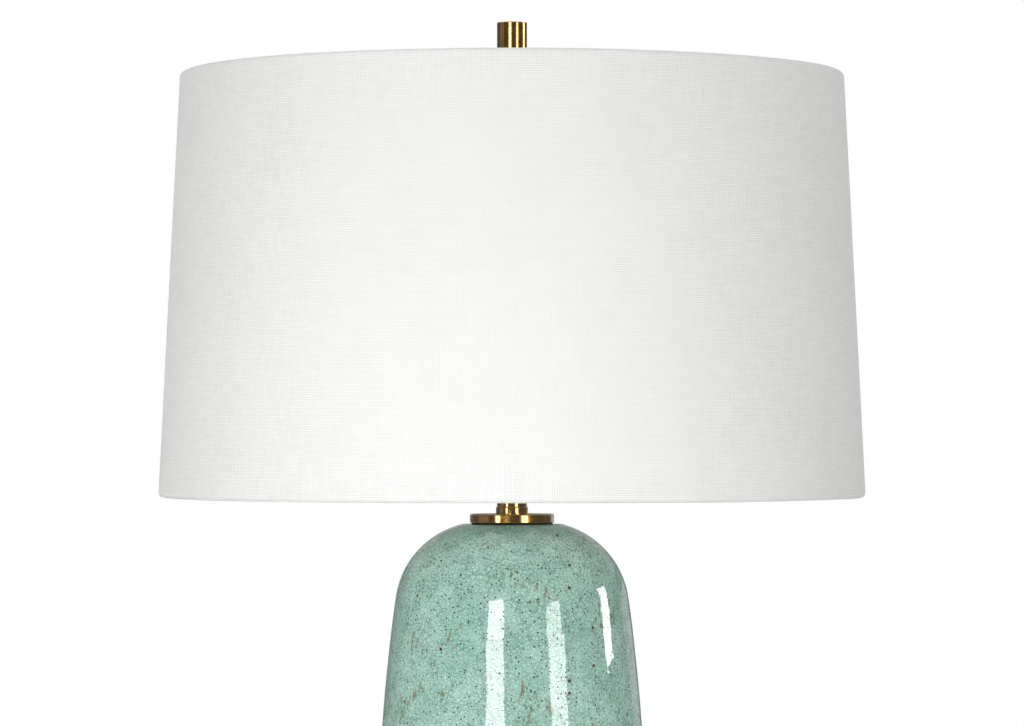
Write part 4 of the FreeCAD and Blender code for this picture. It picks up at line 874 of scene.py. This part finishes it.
@dataclass
class LinenShade:
    """The linen cover of the drum shade, rolled over both rings and lapped at the rear."""

    cloth: float = 0.6  # mm
    rim_round: float = 2.95  # mm, outside of the roll at a rim
    hem_depth: float = 8.0  # mm, turned in below the roll
    lap: float = 12.0  # mm, width of the lapped seam
    lap_step: float = 0.7  # mm, how far the lap stands out
    arm_notch: float = 4.2  # mm, width cut away round an arm
    arms: int = 3
    columns: int = 440
    pucker: float = 0.16  # mm, unevenness of the rolled rims
    wall_pucker: float = 0.2  # the wall's unevenness as a share of that
    rim_reach: float = 0.03  # share of the height over which the rims' unevenness fades
    notch_rest: float = 0.02  # share of the upper hem that is left at an arm
    taper: float = 203.0 / 216.0  # the upper rim's radius as a share of the lower's
    cut: Span = (1.37, 0.345)  # m, the cloth's flat rectangle
    hem_steps: int = 6
    roll_steps: int = 15
    wall_steps: int = 30

    def mid_line(self) -> tuple[Points, np.ndarray]:
        """The middle of the cloth in half section, from the lower hem's end to the upper hem's.

        Returns:
            The line, and for each point its share of the upper hem's depth.
        """
        low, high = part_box("shade_linen")
        bottom, top = low.z / MM, high.z / MM
        wide = high.x / MM
        lean = self.flare(wide) / (top - bottom)
        roll = self.rim_round - self.cloth / 2
        lower = (wide - lean * self.rim_round - self.rim_round, bottom + self.rim_round)
        upper = (wide - self.flare(wide) + lean * self.rim_round - self.rim_round,
                 top - self.rim_round)
        hem_low = (lower[0] - roll - lean * self.hem_depth, lower[1] + self.hem_depth)
        hem_high = (upper[0] - roll + lean * self.hem_depth, upper[1] - self.hem_depth)
        line = join(
            straight(hem_low, (lower[0] - roll, lower[1]), self.hem_steps),
            arc(lower, roll, 180, 360, self.roll_steps),
            straight((lower[0] + roll, lower[1]), (upper[0] + roll, upper[1]), self.wall_steps),
            arc(upper, roll, 0, 180, self.roll_steps),
            straight((upper[0] - roll, upper[1]), hem_high, self.hem_steps))
        share = np.zeros(len(line))
        share[-self.hem_steps:] = np.linspace(0, 1, self.hem_steps)
        return line, share

    def flare(self, wide: float) -> float:
        """How much narrower the upper rim is: a 17 inch shade that is 16 inches across on top."""
        return wide * (1 - self.taper)

    def build(self, dresser: Dresser) -> None:
        """Makes the cover as one closed sheet."""
        line, share = self.mid_line()
        radius = line[:, 0].max()
        near = np.array([-1.001, -0.999, 0.999, 1.001])  # a step has a column close on each side
        notches = turns(self.arms)
        notch_half = self.arm_notch / 2 / line[-1, 0]
        lap_half = self.lap / 2 / radius
        angles = np.unique(np.concatenate((
            turns(self.columns),
            (notches[:, None] + notch_half * near).ravel() % FULL_TURN,
            math.pi / 2 + lap_half * near)))
        across_lap = (angles - math.pi / 2) / lap_half
        lapped = np.where(np.abs(across_lap) < 1,
                          0.5 + 0.5 * np.clip(across_lap * 1.5 + 1, 0, 1), 0)
        turn = np.abs((angles[:, None] - notches + math.pi) % FULL_TURN - math.pi).min(axis=1)
        depth = np.where(turn < notch_half, self.notch_rest, 1.0)
        normals = right_hand(line, closed=False)
        heights = line[:, 1]
        span = heights.max() - heights.min()
        from_rim = np.minimum(heights - heights.min(), heights.max() - heights)
        edge = np.exp(-from_rim / (self.rim_reach * span))[:, None]
        waves = ripple(angles, heights, seed=3, longest=260, shortest=18, radius=210)
        pucker = self.pucker * (self.wall_pucker + edge) * waves
        hem = line[-1] - line[line.shape[0] - int((share > 0).sum()) - 1]
        short = share[:, None] * (depth[None, :] - 1)
        faces = []
        for side in (0.5, -0.5):
            proud = side * self.cloth + pucker
            if side > 0:
                proud = proud + self.lap_step * lapped[None, :]
            faces.append((line[:, :1] + normals[:, :1] * proud + hem[0] * short,
                          line[:, 1:] + normals[:, 1:] * proud + hem[1] * short))
        radii = np.vstack((faces[0][0], faces[1][0][::-1]))
        tall = np.vstack((faces[0][1], faces[1][1][::-1]))
        run = along(line)
        rows = np.concatenate((run, run[::-1], [0.0]))
        piece = loop_grid("linen_cover", radii, tall, angles, rows)
        dresser.finish(piece, Slot.LINEN, Body.SHADE, "shade_linen")


@dataclass
class FeltPad:
    """The felt stuck under the foot."""

    soften: float = 0.5  # mm, round of its edges
    nap: Span = (0.06, 0.05)  # mm, unevenness of the lower and the upper face
    columns: int = 160

    def build(self, dresser: Dresser) -> None:
        """Makes the pad, napped on both faces."""
        low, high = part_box("felt_pad")
        radius, top = high.x / MM, high.z / MM
        edge = radius - self.soften
        rings = np.linspace(0, edge, 18)[:, None]
        section = join(
            np.hstack((rings, np.zeros_like(rings))),
            arc((edge, self.soften), self.soften, -90, 0, 4),
            arc((edge, top - self.soften), self.soften, 0, 90, 4),
            np.hstack((rings[::-1], np.full_like(rings, top))))
        angles = turns(self.columns)
        inner = section[1:-1]
        uneven = ripple(angles, inner[:, 0], seed=12, longest=30, shortest=3, radius=40)
        lower = (inner[:, 1] < top / 2)[:, None]
        rise = np.where(lower, self.nap[0] * (uneven + 1), self.nap[1] * (uneven - 1))
        piece = capped_grid("felt_disc", section, angles, rise)
        dresser.finish(piece, Slot.FELT, Body.BASE, "felt_pad")


@dataclass
class ScrewSkin:
    """A thin metal sleeve with a rolled round thread, as on a bulb or in its holder."""

    name: str
    node: str
    slot: Slot
    body: Body
    crest: float  # mm, outer radius at a crest
    root: float  # mm, outer radius between crests
    wall: float
    plain: Span  # mm, bare stretches below and above the thread
    foot: Span  # mm, radius and height of the slope at the lower end
    pitch: float = 3.629  # mm, seven turns to the inch
    run_out: float = 1.5  # mm, over which the thread fades at each end
    row_height: float = 0.3  # mm
    columns: int = 96

    def build(self, dresser: Dresser) -> None:
        """Makes the sleeve.

        Its radius swings between root and crest as a raised cosine of the height in pitches less
        the angle in turns, which climbs as a right-handed thread and fades at both ends.
        """
        low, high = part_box(self.node)
        bottom, top = low.z / MM, high.z / MM
        heights = np.linspace(bottom, top, round((top - bottom) / self.row_height) + 1)
        angles = turns(self.columns)
        phase = FULL_TURN * (heights - bottom)[:, None] / self.pitch - angles[None, :]
        fade = (np.clip((heights - bottom - self.plain[0]) / self.run_out, 0, 1)
                * np.clip((top - self.plain[1] - heights) / self.run_out, 0, 1))[:, None]
        swing = (self.crest - self.root) * (0.5 - 0.5 * np.cos(phase))
        outer = self.crest - swing * fade
        slope = np.clip((heights - bottom) / max(self.foot[1], 1e-6), 0, 1)[:, None]
        outer = outer - (self.crest - self.foot[0]) * (1 - slope)
        radii = np.vstack((outer, (outer - self.wall)[::-1]))
        tall = np.repeat(np.concatenate((heights, heights[::-1]))[:, None], self.columns, axis=1)
        piece = loop_grid(self.name, radii, tall, angles)
        dresser.finish(piece, self.slot, self.body, self.node)


BULB_CAP = ScrewSkin("bulb_screw_cap", "bulb_cap", Slot.BULB_ALUMINIUM, Body.BULB,
                     crest=13.1, root=12.35, wall=0.35, plain=(2.2, 3.2), foot=(10.4, 2.0))
HOLDER_THREAD = ScrewSkin("holder_thread", "screw_shell", Slot.CONTACT_BRASS, Body.BASE,
                          crest=14.2, root=13.7, wall=0.45, plain=(1.5, 1.5), foot=(13.7, 1.0))


# ------------------------------------------------------------------------------ the studio


@dataclass(frozen=True)
class Softbox:
    """A lit panel that stands round the lamp and faces its axis."""

    name: str
    azimuth: Span  # degrees to the right of the front, seen from the lamp
    heights: Span  # m
    brightness: float  # 1 is as bright as white paper
    reflected: bool = True  # seen in gloss only; otherwise it lights and isn't seen
    distance: float = 2.5  # m
    spread: float = 180.0  # degrees, less where a grid keeps the light off the floor

    def size(self) -> tuple[float, float]:
        """Its width and height in metres."""
        half = math.radians(self.azimuth[1] - self.azimuth[0]) / 2
        return 2 * self.distance * math.tan(half), self.heights[1] - self.heights[0]

    def place(self, panel: Piece) -> None:
        """Stands the panel up and turns it to the axis."""
        middle = math.radians(sum(self.azimuth) / 2)
        panel.location = (self.distance * math.sin(middle), -self.distance * math.cos(middle),
                          sum(self.heights) / 2)
        panel.rotation_euler = (math.pi / 2, 0, middle)

    def build(self) -> None:
        """Makes the light."""
        light = bpy.data.lights.new(self.name, "AREA")
        light.shape = "RECTANGLE"
        light.size, light.size_y = self.size()
        light.energy = PAPER_WHITE * light.size * light.size_y * self.brightness
        light.spread = math.radians(self.spread)
        panel = bpy.data.objects.new(self.name, light)
        self.place(panel)
        panel.visible_camera = False
        panel.visible_transmission = False
        panel.visible_diffuse = not self.reflected
        panel.visible_glossy = self.reflected
        bpy.context.scene.collection.objects.link(panel)


@dataclass(frozen=True)
class OverheadBox(Softbox):
    """A square panel that hangs level over the lamp, at its distance above the floor."""

    width: float = 1.2  # m

    def size(self) -> tuple[float, float]:
        """Its width and height in metres."""
        return self.width, self.width

    def place(self, panel: Piece) -> None:
        """Hangs the panel."""
        panel.location = (0.0, 0.0, self.distance)


@dataclass(frozen=True)
class Studio:
    """A pale floor, a white surround, soft light and the camera of the photograph."""

    camera_place: tuple[float, float, float] = (0.0, -2.80, 0.442)
    camera_tilt: float = 0.767  # degrees above level
    lens: float = 160.8  # mm, on a 36 mm sensor
    floor_radius: float = 3.0  # m
    floor_fade: Span = (0.7, 2.7)  # m, where it turns from matt to the surround's white
    floor_top: float = -0.05  # mm, just clear of the felt
    floor_under: float = -10.0  # mm
    ambient: float = 0.585
    wall_radius: float = 3.5  # m, of the dark wall that gloss sees
    wall_height: float = 2.6  # m
    wall_thickness: float = 10.0  # mm
    wall_shade: float = 0.20  # its brightness
    round_columns: int = 96
    softboxes: tuple[Softbox, ...] = (
        Softbox("key", (-26, 2), (0.1, 0.5), 1.9, reflected=False, distance=1.6, spread=80),
        Softbox("rim", (110, 140), (0.1, 1.3), 0.42, reflected=False),
        OverheadBox("overhead", (0, 0), (0, 0), 0.5, reflected=False, distance=2.4),
        Softbox("strip_left", (-22.7, -7.7), (0.80, 1.05), 11.0),
        Softbox("strip_left_mid", (-23.4, -7.4), (0.44, 0.80), 8.8),
        Softbox("strip_left_low", (-45, -33), (0.1, 0.42), 9.0),
        Softbox("strip_right", (33.2, 47.9), (0.75, 0.94), 7.0),
        Softbox("strip_right_mid", (35.4, 50.6), (0.44, 0.75), 7.8),
        Softbox("strip_right_low", (26, 44), (0.1, 0.42), 8.0),
        Softbox("strip_side", (97, 109), (0.50, 1.9), 10.0),
        Softbox("white_card", (134, 158), (0.0, 0.6), 0.4),
        Softbox("dim_card", (-104, -66), (0.0, 2.4), 0.24),
    )

    def build(self) -> None:
        """Makes the floor, the surround, the lights and the camera."""
        self.add_floor()
        self.add_wall()
        self.add_surround()
        for box in self.softboxes:
            box.build()
        self.add_camera()

    def add_camera(self) -> None:
        """Sets the camera level with the photograph's."""
        data = bpy.data.cameras.new("camera")
        data.lens = self.lens
        data.sensor_width = 36.0
        camera = bpy.data.objects.new("camera", data)
        camera.location = self.camera_place
        camera.rotation_euler = (math.pi / 2 + math.radians(self.camera_tilt), 0, 0)
        bpy.context.scene.collection.objects.link(camera)
        bpy.context.scene.camera = camera

    def add_floor(self) -> None:
        """A pale round floor that turns to the surround's white towards its edge."""
        angles = turns(self.round_columns)
        across = np.array([0.0, 0.3, 1.0, 2.0, self.floor_radius]) / MM
        upper = np.column_stack((across, np.full_like(across, self.floor_top)))
        lower = np.array([[0.0, self.floor_under], [across[-1], self.floor_under]])
        floor = capped_grid("floor", np.vstack((lower, upper[::-1])), angles)
        material, tree = bare_material("pale_floor")
        here = add_node(tree, "ShaderNodeTexCoord").outputs["Object"]
        away = add_node(tree, "ShaderNodeVectorMath", {"operation": "LENGTH"},
                        {0: here}).outputs["Value"]
        fade = add_node(tree, "ShaderNodeMapRange",
                        {"interpolation_type": "SMOOTHSTEP", "From Min": self.floor_fade[0],
                         "From Max": self.floor_fade[1]}, {"Value": away}).outputs[0]
        share = add_node(tree, "ShaderNodeMath", {"operation": "MULTIPLY"},
                         {0: fade, 1: seen_directly(tree)}).outputs[0]
        matt = add_node(tree, "ShaderNodeBsdfDiffuse", {"Color": linear("#EDECEA")}).outputs[0]
        white = add_node(tree, "ShaderNodeEmission", {"Color": WHITE}).outputs[0]
        mixed = add_node(tree, "ShaderNodeMixShader", links={0: share, 1: matt, 2: white})
        add_node(tree, "ShaderNodeOutputMaterial", links={"Surface": mixed.outputs[0]})
        floor.data.materials.append(material)

    def add_wall(self) -> None:
        """A dark wall round the studio, which only gloss sees, so that metal reads as dark."""
        inner = self.wall_radius / MM
        high = self.wall_height / MM
        outer = inner + self.wall_thickness
        section = np.array([[inner, 0.0], [outer, 0.0], [outer, high], [inner, high]])
        wall = turned("studio_wall", section, self.round_columns)
        material, tree = bare_material("dark_wall")
        glow = add_node(tree, "ShaderNodeEmission", {"Strength": self.wall_shade})
        add_node(tree, "ShaderNodeOutputMaterial", links={"Surface": glow.outputs[0]})
        wall.data.materials.append(material)
        wall.visible_camera = False
        wall.visible_diffuse = False
        wall.visible_transmission = False
        wall.visible_shadow = False

    def add_surround(self) -> None:
        """White to the camera, in gloss and through glass, and a level grey light."""
        world = bpy.data.worlds.new("surround")
        world.use_nodes = True
        bpy.context.scene.world = world
        tree = world.node_tree
        tree.nodes.clear()
        strength = add_node(tree, "ShaderNodeMapRange", {"To Min": self.ambient, "To Max": 1.0},
                            {"Value": seen_directly(tree)}).outputs[0]
        sky = add_node(tree, "ShaderNodeBackground", {"Color": WHITE}, {"Strength": strength})
        add_node(tree, "ShaderNodeOutputWorld", links={"Surface": sky.outputs[0]})


def main() -> None:
    """Dresses the lamp and sets up the studio."""
    logging.basicConfig(level=logging.INFO, format="%(message)s")
    bpy.context.scene.view_settings.view_transform = "Standard"
    dresser = Dresser({slot: finish.build() for slot, finish in FINISHES.items()})
    dresser.dress_frame()
    for part in (GlazedJar(), LinenShade(), FeltPad(), BULB_CAP, HOLDER_THREAD):
        part.build(dresser)
    Studio().build()


if __name__ == "__main__":
    main()
